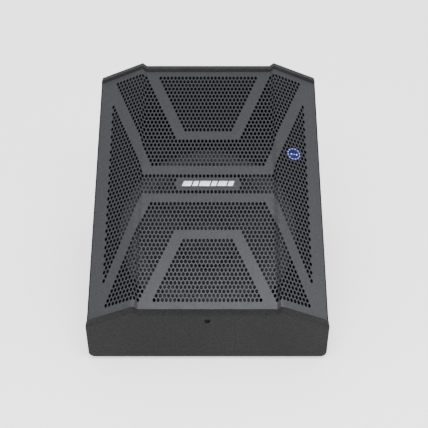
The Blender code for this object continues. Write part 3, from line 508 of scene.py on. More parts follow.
def slab(outline, low, high, round_low=0.0, round_high=0.0, steps=3, to_point=straight, bm=None):
    """Extrude an outline from low to high with rounded rims. to_point maps (u, v, w) to space."""
    outline = counter_clockwise(outline)
    levels = [(low + depth, inwards) for depth, inwards in reversed(rounded_rim(round_low, steps))]
    levels += [(high - depth, inwards) for depth, inwards in rounded_rim(round_high, steps)]
    rings = []
    for level, inwards in levels:
        ring = inset(outline, inwards) if inwards else outline
        rings.append([to_point(u, v, level) for u, v in ring])
    return loft(rings, bm)


def flare(half_x, half_y, radius, levels, centre=(0, 0)):
    """A rounded opening that grows through (level, growth) steps."""
    rings = []
    for level, grow in levels:
        ring = rounded(half_x + grow, half_y + grow, radius + grow, 8, centre)
        rings.append([(u, v, level) for u, v in ring])
    return loft(rings)


def carve(thing, bm, place=None):
    """Cut a closed form out of a piece for good."""
    if place is not None:
        bmesh.ops.transform(bm, matrix=place, verts=bm.verts)
    cutter = add_object("cutter", mesh_from(bm))
    boolean = thing.modifiers.new("cut", "BOOLEAN")
    boolean.operation = "DIFFERENCE"
    boolean.solver = "EXACT"
    boolean.object = cutter
    graph = bpy.context.evaluated_depsgraph_get()
    cut_mesh = bpy.data.meshes.new_from_object(thing.evaluated_get(graph))
    thing.modifiers.clear()
    bpy.data.objects.remove(cutter)
    thing.data = cut_mesh
    cut_mesh.shade_smooth()
    cut_mesh.set_sharp_from_angle(angle=radians(35))


def ellipse_arc(radius, height, steps):
    """Quarter of an ellipse from its rim to its top, ending on the axis."""
    points = []
    for i in range(steps):
        angle = pi / 2 * i / steps
        points.append((radius * cos(angle), height * sin(angle)))
    return points + [(0, height)]


def rim_height(x):
    """Height of an end board's rim above the underside of the boards."""
    x = abs(x)
    if x <= VALLEY_X:
        return CENTRE_RISE
    if x <= RIDGE_X:
        return CENTRE_RISE + (RIDGE_RISE - CENTRE_RISE) * (x - VALLEY_X) / (RIDGE_X - VALLEY_X)
    return RIDGE_RISE - FACET_FALL * (x - RIDGE_X)


# ---- cabinet


def end_outline(lift):
    """Outline of an end board in X and Z, with its corners rounded."""
    corner = 0.0035
    soft = 0.0016
    points = arc((HALF - SIDE_EDGE, BASE + SIDE_EDGE), SIDE_EDGE, -90, 0, 8)
    fall = degrees(atan(FACET_FALL))
    top_z = BASE + lift + rim_height(HALF)
    points += arc((HALF - corner, top_z - corner * 0.55), corner, 0, 90 - fall, 5)
    ridge_z = BASE + lift + RIDGE_RISE
    points.append((RIDGE_X + soft, ridge_z - soft * FACET_FALL - 0.0001))
    points.append((RIDGE_X + soft * 0.2, ridge_z - 0.0003))
    points.append((RIDGE_X - soft * 0.5, ridge_z - 0.0009))
    valley_z = BASE + lift + CENTRE_RISE
    points.append((VALLEY_X + soft * 0.6, valley_z + 0.0009))
    points.append((VALLEY_X - soft * 0.6, valley_z))
    return points + [(-x, z) for x, z in reversed(points)]


def sink_screw(board, end, place):
    """A bore in the board's face with the grille's screw at its foot; place points inwards."""
    bm = lathe([(0, -0.002), (0.0052, -0.002), (0.0052, 0.0), (0.0047, 0.0006), (0.0046, 0.0048),
                (0.0024, 0.0048), (0.0024, BOARD + 0.002), (0, BOARD + 0.002)], 36)
    carve(board, bm, place)
    bm = lathe([(0, 0.0042), (0.0014, 0.0042), (0.0016, 0.0031), (0.0029, 0.0031), (0.0035, 0.0036),
                (0.0036, 0.0045), (0.002, 0.0045), (0.002, 0.0215), (0, 0.0215)], 32)
    name = f"grille_screw_{end}"
    piece(f"{name}_sunk", bm, OXIDE, replaces=[name], place=place)


OUTER_ROUND, INNER_ROUND = 0.0022, 0.0012  # rims of the end boards
SEAT_LEVELS = ((-0.004, 0.0), (-0.001, 0.0), (0.0, 0.0008), (0.01, 0.0108))  # level and growth


def make_end_boards():
    """The end boards with their grille screws, and the panel's seat in the rear one."""
    screw_z = BASE + CENTRE_RISE - SCREW_DROP
    bm = slab(end_outline(0.0), Y_FRONT, Y_IN_FRONT, OUTER_ROUND, INNER_ROUND, 4, across)
    front = piece("front_board_painted", bm, PAINT, replaces=["front_board"])
    inward = turn(-pi / 2, "X")
    sink_screw(front, "front", at((0, Y_FRONT, screw_z)) @ inward)
    bm = slab(end_outline(LIFT), Y_IN_REAR, Y_REAR, INNER_ROUND, OUTER_ROUND, 4, across)
    rear = piece("rear_board_painted", bm, PAINT, replaces=["rear_board"])
    sink_screw(rear, "rear", at((0, Y_REAR, screw_z + LIFT)) @ inward.inverted())
    cut_seat(rear, PANEL, PANEL_HALF.x, PANEL_HALF.z, PANEL_CORNER, 0.0105, 0.008, 0.0001)


def cut_seat(board, place, half_x, half_y, corner, ledge, hole_corner, extra=0.0):
    """A hole through a board with a shallow, eased seat round it."""
    bm = slab(rounded(half_x - ledge, half_y - ledge, hole_corner), -0.05, 0.02)
    carve(board, bm, place)
    levels = [(level, grow + (extra if grow else 0.0)) for level, grow in SEAT_LEVELS]
    carve(board, flare(half_x + GAP, half_y + GAP, corner + GAP, levels), place)


def handle_place(side):
    """Frame on a side face at its handle: X along the cabinet, Y up, Z outwards."""
    low, high = corners_of("side_handle_right")
    turned = turn(pi / 2 * side, "Z") @ turn(pi / 2, "X")
    middle = (side * HALF, (low.y + high.y) / 2, (low.z + high.z) / 2)
    return at(middle) @ turned, (high.y - low.y) / 2, (high.z - low.z) / 2


def make_side_boards():
    """Sloping side boards with a lip outside the grille and a recess under its edge."""
    inner = HALF - BOARD
    seat = SHEET * 1.15 + GAP
    base = BASE - RIM_DEPTH
    ease = 0.0008
    for side, name in ((-1, "left"), (1, "right")):
        section = [(inner, BASE, 0)]
        section += [(x, z, 0) for x, z in arc((HALF - SIDE_EDGE, BASE + SIDE_EDGE), SIDE_EDGE, -90, 0, 8)]
        top = base + rim_height(HALF) + ease
        section += [(x, z, 1) for x, z in arc((HALF - ease, top - ease), ease, 0, 90, 4)]
        section += [(HALF - LIP, top, 1), (HALF - LIP, base + rim_height(HALF - LIP) - seat, 1),
                    (inner, base + rim_height(inner) - seat, 1)]
        rings = []
        for y, lift in ((Y_IN_FRONT, 0.0), (Y_IN_REAR, LIFT)):
            rings.append([(side * x, y, z + lift * rises) for x, z, rises in section])
        board = piece(f"side_board_{name}_painted", loft(rings), PAINT,
                      replaces=[f"side_board_{name}"])
        place, half_y, half_z = handle_place(side)
        cut_seat(board, place, half_y, half_z, HANDLE_CORNER, 0.0097, 0.012)
        make_handle(name, place, half_y, half_z)


HANDLE_CORNER = 0.016  # radius of the handles' corners
HANDLE_MOUTH = (0.048, 0.023, 0.01)  # half length, half height and corner radius
MOUTH_CENTRE = (0, -0.008)
MOUTH_LEVELS = ((-0.006, 0.0), (-0.0036, 0.0), (-0.0026, 0.0003), (-0.002, 0.0008), (-0.001, 0.002),
                (0.01, 0.013))


def make_handle(name, place, half_y, half_z):
    """A moulded cup whose mouth is smaller than the cup, with a rolled rim round it."""
    bm = slab(rounded(half_y - 0.0106, half_z - 0.0106, 0.012), -0.0418, -0.003, 0.004, 0.0, 4)
    cup = piece(f"side_handle_{name}_moulded", bm, DULL, replaces=[f"side_handle_{name}"], place=place)
    bm = slab(rounded(half_y - 0.0131, half_z - 0.0131, 0.01), -0.0395, -0.0065, 0.005, 0.0, 4)
    carve(cup, bm, place)
    carve(cup, slab(rounded(*HANDLE_MOUTH, 8, MOUTH_CENTRE), -0.007, 0.01), place)
    bm = slab(rounded(half_y, half_z, HANDLE_CORNER), -0.0037, -0.0017, 0.0, 0.0009, 3)
    rim = piece(f"side_handle_{name}_rim", bm, DULL, place=place)
    carve(rim, flare(*HANDLE_MOUTH, MOUTH_LEVELS, MOUTH_CENTRE), place)
    for index, (y, z) in enumerate(((-1, -1), (1, -1), (1, 1), (-1, 1))):
        spot = place @ at((y * (half_y - 0.0068), z * (half_z - 0.0068), -0.0017))
        make_screw(f"handle_screw_{name}_{index}", spot, 0.0034, 0.0013)


def make_screw(name, place, radius, height):
    """A domed screw head with a hexagonal socket, standing on the plane of its frame."""
    key = radius * 0.5

    def hexagon(index, angle, r):
        if index < 4:
            return r
        sector = (angle + pi / 6) % (pi / 3) - pi / 6
        return r * cos(pi / 6) / cos(sector)

    profile = [(0, -0.006), (radius * 0.5, -0.006), (radius * 0.98, 0.0), (radius * 0.86, height * 0.75),
               (key * 1.3, height), (key * 1.15, height * 0.9), (key * 1.15, height * 0.25),
               (0, height * 0.15)]
    piece(name, lathe(profile, 24, radius_of=hexagon), OXIDE, place=place)


# ---- grille

PITCH = 0.00675  # hole pitch across
ROW = 0.00763  # row pitch along the slope
HOLE_WIDE, HOLE_LONG = 0.0054, 0.0071
LAST_ROW = 28
LAST_COLUMN = 27
FOLD_SOFT = 0.0012  # half length of sheet that a fold takes up
ROW_BOW = 0.0031  # how far the outermost rows stand up the slope from an even spacing
SECTION_STEP = 0.0001  # step in which the folded section is walked
FACET_PACKING = 1.06  # how much closer the columns stand on the outer facets
GRILLE_HALF = HALF - LIP - GAP
FLANGE_HALF, FLANGE_FALL = 0.095, 0.009


def fold_curve():
    """Sheet length, X, height and angle across half the folded sheet, walked in small steps."""
    strip = atan((RIDGE_RISE - CENTRE_RISE) * cos(SLOPE) / (RIDGE_X - VALLEY_X))
    facet = -atan(FACET_FALL * cos(SLOPE))
    strip_length = (RIDGE_X - VALLEY_X) / cos(strip)
    first, second = VALLEY_X, VALLEY_X + strip_length
    step = SECTION_STEP
    lengths, across_x, heights, angles = [0.0], [0.0], [0.0], [0.0]
    knots = (0, first - FOLD_SOFT, first + FOLD_SOFT, second - FOLD_SOFT, second + FOLD_SOFT, 1)
    turns = (0, 0, strip, strip, facet, facet)
    while across_x[-1] < GRILLE_HALF:
        length = lengths[-1] + SECTION_STEP
        angle = float(np.interp(length, knots, turns))
        lengths.append(length)
        if across_x[-1] > RIDGE_X:
            step = SECTION_STEP / FACET_PACKING
        across_x.append(across_x[-1] + step * cos(angle))
        heights.append(heights[-1] + step * sin(angle))
        angles.append(angle)
    return lengths, across_x, heights, angles


def is_hole(column, row):
    """Whether the pattern has a hole at a column (whole or half) and a row from the middle."""
    a, b = abs(row), abs(column)
    if b > LAST_COLUMN:
        return False
    if a >= 14 and b <= a / 2 - 1:
        return True
    if a >= 3 and b >= 16 + a / 2:
        return True
    if a >= 5 and b <= 12 + a / 2 and (a < 12 or b >= 3 + a / 2):
        return True
    return a <= 2 and b > {0: 8.0, 1: 7.5}.get(a, -1.0)


def cell_outline(u, v, half_u, half_v):
    """Twelve points round a cell: five along its top and bottom and one on each side."""
    fractions = (-1, -0.5, 0, 0.5, 1)
    lower = [(u + half_u * f, v - half_v) for f in fractions]
    upper = [(u + half_u * f, v + half_v) for f in reversed(fractions)]
    return lower + [(u + half_u, v)] + upper + [(u - half_u, v)]


def sheet_pattern(edge_u, half_v):
    """Points and faces of the flat sheet with its holes."""
    points, keys, faces = [], {}, []

    def vertex(u, v):
        u = min(max(u, -edge_u), edge_u)
        v = min(max(v, -half_v), half_v)
        key = (round(u * 1e6), round(v * 1e6))
        if key not in keys:
            keys[key] = len(points)
            points.append((u, v))
        return keys[key]

    def face(corners):
        clean = [c for c, after in looped(corners) if c != after]
        if len(set(clean)) > 2:
            faces.append(clean)

    columns = int(edge_u / PITCH) + 1
    for row in range(-LAST_ROW - 1, LAST_ROW + 2):
        margin = abs(row) > LAST_ROW
        shift = 0.5 if row % 2 else 0.0
        low, high = (row - 0.5) * ROW, (row + 0.5) * ROW
        if margin:
            low, high = ((LAST_ROW + 0.5) * ROW, half_v) if row > 0 else (-half_v, -(LAST_ROW + 0.5) * ROW)
        for column in range(-columns - 1, columns + 2):
            place = column + shift
            if (abs(place) - 0.5) * PITCH >= edge_u:
                continue
            u, v = place * PITCH, (low + high) / 2
            ring = cell_outline(u, v, PITCH / 2, (high - low) / 2)
            outline = [vertex(*point) for point in ring]
            if margin or not is_hole(place, row):
                face(outline)
                continue
            rim = []
            for pu, pv in ring:
                angle = atan2((pv - v) / ROW, (pu - u) / PITCH)
                rim_u = u + HOLE_WIDE / 2 * cos(angle)
                rim.append(vertex(rim_u, v + HOLE_LONG / 2 * sin(angle)))
            for (a, d), (b, c) in looped(list(zip(outline, rim))):
                face([a, b, c, d])
    return points, faces


def outer_walls(faces, total):
    """Quads between the two skins along every edge that only one face has."""
    edges = {}
    for corners in faces:
        for a, b in looped(corners):
            edges[(a, b)] = True
    return [[b, a, a + total, b + total] for a, b in edges if (b, a) not in edges]


def make_grille():
    """The perforated sheet, folded along its length, and a flange against each end board."""
    lengths, across_x, heights, angles = fold_curve()
    half_v = (Y_IN_REAR - Y_IN_FRONT - 2 * GAP) / cos(SLOPE) / 2
    points, faces = sheet_pattern(lengths[-1], half_v)
    flat = np.array(points)
    side = np.sign(flat[:, 0])
    reach = np.abs(flat[:, 0])
    x = side * np.interp(reach, lengths, across_x)
    height = np.interp(reach, lengths, heights)
    tilt = side * np.interp(reach, lengths, angles)
    origin = np.array(GRILLE_START + UP * half_v + Vector((0, GAP, 0)))
    up, out, right = np.array(UP), np.array(OUT), np.array((1.0, 0, 0))
    # the end edges stay in the planes of the end boards
    part = flat[:, 1] / half_v
    bow = np.where(np.abs(part) < 0.9999, ROW_BOW * part * part, 0.0)
    along = flat[:, 1] + bow + height * tan(SLOPE)
    skin = origin + x[:, None] * right + along[:, None] * up + height[:, None] * out
    normal = -np.sin(tilt)[:, None] * right + np.cos(tilt)[:, None] * out
    # the ends are cut upright, against the end boards
    under = skin - normal * SHEET * 0.92
    ends = np.abs(np.abs(flat[:, 1]) - half_v) < 1e-7
    shift = (skin[:, 1] - under[:, 1]) / cos(SLOPE)
    under[ends] += shift[ends, None] * up
    total = len(points)
    walls = outer_walls(faces, total)
    backs = [[c + total for c in reversed(corners)] for corners in faces]
    mesh = bpy.data.meshes.new("perforated")
    mesh.from_pydata(np.vstack([skin, under]).tolist(), [], faces + walls + backs)
    mesh.validate()
    mesh.update()
    piece("grille_perforated", mesh, COAT, replaces=["grille"], smooth=30.0)
    for end, y, lift, into in (("front", Y_IN_FRONT, 0.0, 1), ("rear", Y_IN_REAR, LIFT, -1)):
        top = GRILLE_START.z + lift - SHEET * 1.5
        start, finish = sorted((y + into * GAP, y + into * (GAP + SHEET)))
        outline = rounded(FLANGE_HALF, FLANGE_FALL, 0.003, 4, (0, top - FLANGE_FALL))
        bm = slab(outline, start, finish, 0.0003, 0.0003, 2, across)
        piece(f"grille_flange_{end}", bm, COAT)


# ---- badge and pilot light


def make_name_plate():
    """A plain dark plate with a row of slanted pale bars in place of any name."""
    low, high = corners_of("name_plate")
    middle = (low + high) / 2
    up_slope = (middle - GRILLE_START).dot(UP)
    place = at(GRILLE_START + UP * up_slope) @ turn(SLOPE, "X")
    bm = slab(rounded(0.05, 0.0078, 0.0035), GAP, 0.0012, 0.0, 0.0004, 3)
    piece("name_plate_base", bm, COAT, replaces=["name_plate"], place=place)
    bm = bmesh.new()
    slant, half, space = 0.0034, 0.0046, 0.0026
    start = -0.045
    for length in (0.015, 0.009, 0.018, 0.009, 0.015, 0.009):
        end = start + length
        outline = [(start, -half), (end, -half), (end + slant, half), (start + slant, half)]
        slab(outline, 0.0011, 0.0015, 0.0, 0.00012, 2, bm=bm)
        start += length + space
    piece("name_plate_bars", bm, SATIN, place=place)


GLINT_CIRCLE = 0.01135  # radius of the ring of glowing points, painted glints on the bezel
DOT_LINE = -0.0014  # the lens's dots below its middle


def make_pilot():
    """A bezel with a ring of glowing points, painted glints, round a low lens with three dots."""
    low, high = corners_of("pilot_bezel")
    x = (low.x + high.x) / 2
    tilt = atan(FACET_FALL * cos(SLOPE))
    surface = Vector((x, Y_IN_FRONT, BASE + rim_height(x) - RIM_DEPTH))
    up_slope = ((low + high) / 2 - surface).dot(UP)
    place = (at(surface + UP * up_slope) @ turn(SLOPE, "X")
             @ turn(tilt, "Y") @ Matrix.Diagonal((1, 0.9, 1, 1)))
    bm = lathe([(0.0075, -0.008), (0.009, -0.008), (0.009, 0.0002), (0.0128, 0.0002), (0.013, 0.0004),
                (0.013, 0.0008), (0.0126, 0.0012), (0.0102, 0.0016), (0.0098, 0.0014), (0.0098, 0.001),
                (0.0075, 0.001)], 64)
    piece("pilot_bezel_ring", bm, NAVY, replaces=["pilot_bezel"], place=place)
    bm = lathe([(0.0109, 0.0013), (0.0118, 0.0011), (0.0118, 0.0015), (0.0116, 0.0018), (0.0111, 0.0019),
                (0.0109, 0.0017)], 64)
    piece("pilot_bezel_stripe", bm, RING_BLUE, place=place)
    bm = lathe([(0, -0.004), (0.0072, -0.004), (0.0072, 0.0013), (0.0094, 0.0013), (0.0095, 0.0016),
                (0.0088, 0.002), (0.006, 0.0024), (0.003, 0.0026), (0, 0.0027)], 64)
    piece("pilot_lens_dome", bm, BLUE, replaces=["pilot_lens"], place=place)
    bm = bmesh.new()
    for x, half in ((-0.005, 0.0015), (0.0002, 0.0009), (0.005, 0.0015)):
        outline = rounded(half, half, half * 0.97, 6, (x, DOT_LINE))
        slab(outline, 0.002, 0.0028, 0.0, 0.0002, 2, bm=bm)
    piece("pilot_lens_dots", bm, ICE_LAMP_AND_GLINT, place=place)
    # twelve glowing points on the bezel stripe: painted glints, not lamps
    bm = bmesh.new()
    for i in range(12):
        spot = polar(GLINT_CIRCLE, TAU * (i + 0.5) / 12)
        slab(rounded(0.0008, 0.0008, 0.00078, 5, spot), 0.0016, 0.0022, 0.0, 0.0002, 2, bm=bm)
    piece("pilot_bezel_painted_glints", bm, ICE_LAMP_AND_GLINT, place=place)


# ---- driver and ports

SCREW_CIRCLE = 0.1478  # radius of the driver's screw circle
ROLL_IN, ROLL_OUT = 0.1225, 0.136
CONE_RIM, CONE_NECK = 0.122, 0.051
PORT_X, PORT_UP = 0.105, 0.213  # ports from the driver's centre


def make_basket():
    """Cast frame with six windows, a rib between each pair of them, and its eight screws."""
    bm = lathe([(0.133, FRAME_TOP), (0.152, FRAME_TOP), (0.153, FRAME_TOP - 0.001), (0.153, 0.0026),
                (0.1412, 0.0026), (0.14, -0.014), (0.09, -0.066), (0.09, -0.07), (0.056, -0.07),
                (0.056, -0.0665), (0.076, -0.0665), (0.076, -0.06), (0.0865, -0.06), (0.135, -0.011),
                (0.138, 0.004), (0.133, 0.004)], 96)
    basket = piece("driver_basket_cast", bm, CAST_AND_SHADE, replaces=["driver_basket"],
                   place=DRIVER)
    bm = bmesh.new()
    half = 19
    for i in range(6):
        middle = 60 * i
        window = arc((0, 0), 0.096, middle - half, middle + half, 8)
        window += arc((0, 0), 0.15, middle + half, middle - half, 8)
        slab(window, -0.056, -0.017, bm=bm)
    carve(basket, bm, DRIVER)
    bm = bmesh.new()
    outline = [(0.136, -0.015), (0.09, -0.063), (0.09, -0.069), (0.096, -0.069), (0.139, -0.024)]
    for i in range(6):
        turned = turn(TAU * (i + 0.5) / 6, "Z")
        slab(outline, -0.003, 0.003, 0.0006, 0.0006, 2, lambda u, v, w: turned @ Vector((u, w, v)), bm)
    piece("driver_basket_ribs", bm, CAST_AND_SHADE, place=DRIVER)
    for i in range(8):
        spot = (*polar(SCREW_CIRCLE, TAU * (i + 0.5) / 8), FRAME_TOP + 0.0001)
        make_screw(f"driver_screw_{i}", DRIVER @ at(spot), 0.0046, 0.003)


def make_surround():
    """Half-round cloth roll between the frame and the cone."""
    seat = FRAME_TOP + GAP
    roll = [(0.1435, seat), (0.1372, seat)]
    roll += [(r, h + seat) for r, h in arc((0.13, 0), 0.007, 0, 180, 18)]
    roll += [(ROLL_IN, seat), (0.1185, FRAME_TOP - 0.0008)]
    wall = [(radius, height + 0.0009) for radius, height in reversed(roll)]
    make_flexing_ring("driver_surround_roll", "driver_surround", roll + wall, CLOTH,
                      24)


def make_cone():
    """Paper cone with shallow rings pressed into it."""
    count = 26
    face = []
    for i in range(count + 1):
        t = i / count
        height = 0.007 - 0.063 * t ** 0.88
        if 3 < i < count - 4:
            height += 0.0007 * sin(TAU * i / 5)
        face.append((CONE_RIM + (CONE_NECK - CONE_RIM) * t, height))
    back = [(radius, height - 0.0011) for radius, height in reversed(face)]
    piece("driver_cone_paper", lathe(face + back, 120), PAPER, "cone_assembly", DRIVER,
          replaces=["driver_cone"])


def make_horn():
    """Domed gauze over the neck of the cone and the flaring throat behind it."""
    dome = [(r, h - 0.0477) for r, h in ellipse_arc(0.047, 0.009, 14)]
    inner = [(r, h - 0.0485) for r, h in reversed(ellipse_arc(0.0462, 0.009, 14))]
    bm = lathe(dome + inner, 96)
    piece("horn_screen_gauze", bm, GAUZE, replaces=["horn_screen"], place=DRIVER)
    throat = [(0.0127, -0.0966), (0.0297, -0.0966), (0.0297, -0.068), (0.034, -0.064), (0.0475, -0.05),
              (0.0475, -0.0482), (0.0455, -0.048)]
    for i in range(1, 13):
        t = i / 12
        throat.append((0.044 * (0.0135 / 0.044) ** (t ** 0.9), -0.0485 - 0.047 * t))
    piece("tweeter_horn_flare", lathe(throat), STAIN_AND_SHADE, replaces=["tweeter_horn"], place=DRIVER)


def make_spider():
    """Corrugated centring disc between the coil former and the basket."""
    waves = []
    steps = 56
    for i in range(steps + 1):
        t = i / steps
        waves.append((0.0514 + 0.0341 * t, -0.0585 + 0.0006 * sin(TAU * 7 * t)))
    wall = [(radius, height - 0.0005) for radius, height in reversed(waves)]
    make_flexing_ring("driver_spider_disc", "driver_spider", waves + wall, RESIN,
                      12)


def make_flexing_ring(name, node, profile, look, parts):
    """A ring from the basket to the cone, in wedges along their own radius, each left on no body."""
    half = pi / parts
    for i in range(parts):
        turned = DRIVER @ turn(2 * half * i, "Z")
        rings = [[(*polar(r, half * k / 2), h) for r, h in profile] for k in range(-2, 3)]
        wedge = piece(f"{name}_{i}", loft(rings), look, None, turned, replaces=[node])
        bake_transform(wedge)


def make_ports():
    """Two port tubes with a flared lip on the baffle."""
    for side, name in ((-1, "left"), (1, "right")):
        centre = (side * PORT_X, PORT_UP)
        tube = [(0.034, -0.045), (0.036, -0.045), (0.036, GAP), (0.0428, GAP), (0.043, 0.0012),
                (0.0422, 0.0024)] + arc((0.04, -0.003), 0.006, 180, 90, 8)[::-1]
        bm = lathe(tube, centre=centre)
        piece(f"port_{name}_flared", bm, STAIN_AND_SHADE, replaces=[f"port_tube_{name}"], place=DRIVER)


# ---- amplifier panel

# Places on the panel, from its middle
SOCKETS = ((0.03, 0.042), (0.068, 0.042))
CONTACT_CIRCLE = 0.0042
KNOBS = (("level", 0.028), ("bass", 0.062), ("treble", 0.096))
LIGHTS = (0.092, 0.1, 0.108)
SWITCH = (0.092, -0.044)
ROCKER_TILT = 9.0
INLET = (0.034, -0.044)
FRAMES = (((0.049, 0.042), 0.0365, 0.0195), ((0.1, 0.0405), 0.0125, 0.018),
          ((0.062, 0.0), 0.054, 0.0165), ((0.064, -0.044), 0.056, 0.0165))


def make_knobs():
    """Fluted caps with a pale pointer, each riding on its own control."""

    def fluted(index, angle, radius):
        if 4 <= index <= 6:
            return radius * (1 - 0.045 * max(0.0, cos(18 * angle)) ** 2)
        return radius

    for name, x in KNOBS:
        place = PANEL_FLOOR @ at((x, 0, 0))
        profile = [(0, -0.011), (0.0024, -0.011), (0.0024, 0.0015), (0.0083, 0.0015), (0.0085, 0.005),
                   (0.0078, 0.01), (0.0072, 0.0145), (0.0066, 0.0154), (0.005, 0.0156), (0, 0.0152)]
        bm = lathe(profile, 144, radius_of=fluted)
        piece(f"{name}_knob_cap", bm, KNOB, f"{name}_control", place, replaces=[f"{name}_knob"])
        outline = rounded(0.0006, 0.0035, 0.0005, 4, (0, 0.0042))
        bm = slab(outline, 0.015, 0.0161, 0.0, 0.0002, 2)
        piece(f"{name}_knob_pointer", bm, WHITE_INK, f"{name}_control", place)


def make_panel_marks():
    """Printed scale ticks round the knobs and frames round the groups of fittings."""
    low, high = 0.00002, 0.0001
    start, half = 0.0105, 0.00022  # of a tick
    bm = bmesh.new()
    for name, x in KNOBS:
        for i in range(11):
            angle = radians(240 - 30 * i)
            reach = 0.0128 if i % 5 == 0 else 0.012
            turned = at((x, 0, 0)) @ turn(angle, "Z")
            outline = [(start, -half), (reach, -half), (reach, half), (start, half)]
            slab(outline, low, high, to_point=lambda u, v, w: turned @ Vector((u, v, w)), bm=bm)
    for middle, half_x, half_y in FRAMES:
        ring = rounded(half_x, half_y, 0.003, 6, middle)
        for (a, d), (b, c) in looped(list(zip(ring, inset(ring, 0.0003)))):
            slab([a, b, c, d], low, high, bm=bm)
    piece("panel_print", bm, WHITE_INK, place=PANEL_FLOOR, smooth=None)


def make_rocker_marks():
    """A moulded bar and ring on the two halves of the rocker, riding with it."""
    x, y = SWITCH
    tilt = turn(radians(ROCKER_TILT), "Y")
    place = PANEL_FLOOR @ at((x, y, 0.001)) @ tilt
    lean = atan(0.0014 / 0.0076)
    for name, side in (("on", -1), ("off", 1)):
        if name == "on":
            bm = slab(rounded(0.00035, 0.0021, 0.0003, 3), -0.0002, 0.00025, 0.0, 0.0001, 2)
        else:
            bm = lathe([(0.0012, -0.0002), (0.0018, -0.0002), (0.0018, 0.0002), (0.0015, 0.00025),
                        (0.0012, 0.0002)], 28)
        spot = at((side * 0.004, 0, 0.002 + 0.004 * tan(lean)))
        mark = place @ spot @ turn(-side * lean, "Y")
        piece(f"rocker_mark_{name}", bm, WHITE_INK, "power_rocker", mark)


def make_panel_screws():
    """Screws of the panel, of its two sockets and of the mains inlet."""
    reach_x, reach_y = PANEL_HALF.x - 0.0055, PANEL_HALF.z - 0.0055
    spots = [(sx * reach_x, sy * reach_y) for sx in (-1, 0, 1) for sy in (-1, 1)]
    for index, (x, y) in enumerate(spots):
        make_screw(f"panel_screw_{index}", PANEL @ at((x, y, -0.0017)), 0.0033, 0.0013)
    index = 0
    for x, y in SOCKETS:
        for sx, sy in ((-1, 1), (1, -1)):
            spot = (x + sx * 0.01, y + sy * 0.0125, 0.0023)
            make_screw(f"socket_screw_{index}", PANEL_FLOOR @ at(spot), 0.0019, 0.0009)
            index += 1
    for side in (-1, 1):
        spot = (INLET[0] + side * 0.0195, INLET[1], 0.0028)
        make_screw(f"inlet_screw_{index}", PANEL_FLOOR @ at(spot), 0.0024, 0.0011)
        index += 1


def make_socket_details():
    """Contacts in the signal sockets, the blades of the mains inlet and three small lights."""
    sleeve = [(0.001, -0.011), (0.0016, -0.011), (0.0016, 0.0005), (0.001, 0.0005)]
    pin = [(0, -0.0145), (0.00125, -0.0145), (0.00125, -0.0026), (0.0007, -0.0019), (0, -0.0018)]
    for name, spot, profile in zip(("input", "link"), SOCKETS, (sleeve, pin)):
        bm = bmesh.new()
        for i in range(3):
            lathe(profile, 20, polar(CONTACT_CIRCLE, TAU * (i / 3 + 0.25), spot), bm=bm)
        piece(f"{name}_contacts", bm, BRASS, place=PANEL_FLOOR)
    bm = bmesh.new()
    x, y = INLET
    for u, v in ((-0.007, -0.002), (0, 0.002), (0.007, -0.002)):
        outline = rounded(0.00105, 0.00205, 0.0006, 4, (x + u, y + v))
        slab(outline, -0.0165, -0.0029, 0.0, 0.0005, 2, bm=bm)
    piece("inlet_contacts", bm, ZINC, place=PANEL_FLOOR)
    dome = [(r, 0.0004 + h) for r, h in ellipse_arc(0.0015, 0.0014, 6)]
    for x in LIGHTS:
        bm = lathe([(0, 0), (0.00165, 0)] + dome, 24, (x, 0.03))
        piece(f"signal_light_{round(x * 1000)}", bm, GREEN, place=PANEL_FLOOR)


# ---- feet


def make_feet():
    """Round rubber feet with a shallow hollow underneath."""
    for end in ("front", "rear"):
        for side in ("left", "right"):
            low, high = corners_of(f"foot_{end}_{side}")
            middle = (low + high) / 2
            top = high.z
            bm = lathe([(0, 0.0012), (0.004, 0.0012), (0.0042, 0.0002), (0.0048, 0.0), (0.011, 0.0),
                        (0.012, 0.0006), (0.0126, 0.0018), (0.0138, top - 0.0006), (0.0136, top), (0, top)],
                   56, middle)
            piece(f"foot_{end}_{side}_moulded", bm, RUBBER, replaces=[f"foot_{end}_{side}"])


# ---- nodes shown as they are

CARRIED = (
    (PAINT, "bottom_board"),
    (STAIN_AND_SHADE, "baffle_board"),
    (PLY, "baffle_cleat_left baffle_cleat_right"),
    (DULL, "pilot_board"),
    (RUBBER, "driver_gasket ground_lift_button driver_cable"),
    (RESIN, "voice_coil_former"),
    (COPPER, "voice_coil"),
    (ZINC, "motor_top_plate motor_back_plate amp_cover input_latch_tab"),
    (MAGNET, "motor_magnet"),
    (TITANIUM, "tweeter_diaphragm"),
    (CAST_AND_SHADE, "tweeter_rear_cap"),
    (PLASTIC, "phase_plug driver_terminals mains_inlet power_switch_frame input_socket link_socket"),
    (KNOB, "power_rocker"),
    (PANEL_COAT, "amp_panel"),
    (ANODISED, "heatsink"),
    (CIRCUIT, "amp_board power_supply_board control_board"),
)


def dress_carried_nodes():
    for look, names in CARRIED:
        for name in names.split():
            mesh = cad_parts[name].data
            mesh.materials.clear()
            mesh.materials.append(look)


# ---- room, light and camera


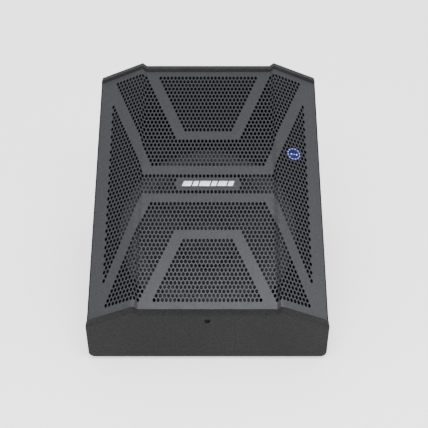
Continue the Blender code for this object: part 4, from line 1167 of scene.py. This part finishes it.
def make_stage():
    """A plain pale floor that curves up behind the object."""
    look = Look("pale_floor", (0.92, 0.92, 0.92), 0.9)
    tone = look.blend(look.noise(2.0), (0.91, 0.91, 0.91), (0.93, 0.93, 0.93))
    look.paint(tone)
    look.glow(tone, 0.95)
    bm = bmesh.new()
    reach, bend = 4.0, 1.6
    profile = [(-reach, 0.0), (bend, 0.0)]
    profile += arc((bend, 1.0), 1.0, -90, 0, 16)[1:]
    profile += [(bend + 1.0, reach)]
    rings = []
    for x in (-reach, reach):
        rings.append([bm.verts.new((x, y, z)) for y, z in profile])
    for i in range(len(profile) - 1):
        bm.faces.new((rings[0][i], rings[1][i], rings[1][i + 1], rings[0][i + 1]))
    mesh = bpy.data.meshes.new("floor")
    bm.to_mesh(mesh)
    bm.free()
    mesh.shade_smooth()
    mesh.materials.append(look.material)
    add_object("floor", mesh)


def area_light(name, place, target, size, power):
    data = bpy.data.lights.new(name, "AREA")
    data.shape = "RECTANGLE"
    data.size, data.size_y = size
    data.energy = power
    light = add_object(name, data)
    light.location = place
    light.rotation_euler = (Vector(target) - Vector(place)).to_track_quat("-Z", "Y").to_euler()


def make_light_and_camera():
    """White surroundings, three soft lights and the photo's camera."""
    world = bpy.data.worlds.new("studio")
    world.use_nodes = True
    sky = world.node_tree.nodes["Background"]
    sky.inputs["Color"].default_value = (1, 1, 1, 1)
    sky.inputs["Strength"].default_value = 1.4
    bpy.context.scene.world = world
    area_light("key_light", (-0.8, -1.3, 1.9), (0, -0.1, 0.15), (1.2, 1.0), 20)
    area_light("fill_light", (1.4, -0.8, 1.4), (0, 0, 0.15), (1.0, 1.0), 10)
    area_light("top_light", (0.1, -0.6, 1.2), (0, -0.15, 0.1), (0.8, 0.3), 9)
    data = bpy.data.cameras.new("camera")
    data.sensor_width = 36
    data.lens = 67.3
    camera = add_object("camera", data)
    camera.location = (0.0107, Y_FRONT - 0.9495, BASE + 0.9859)
    camera.rotation_euler = (radians(90 - 35.95), 0, 0)
    bpy.context.scene.camera = camera


make_end_boards()
make_side_boards()
make_grille()
make_name_plate()
make_pilot()
make_basket()
make_surround()
make_cone()
make_horn()
make_spider()
make_ports()
make_knobs()
make_panel_marks()
make_rocker_marks()
make_panel_screws()
make_socket_details()
make_feet()
dress_carried_nodes()
make_stage()
make_light_and_camera()

bpy.context.view_layer.update()
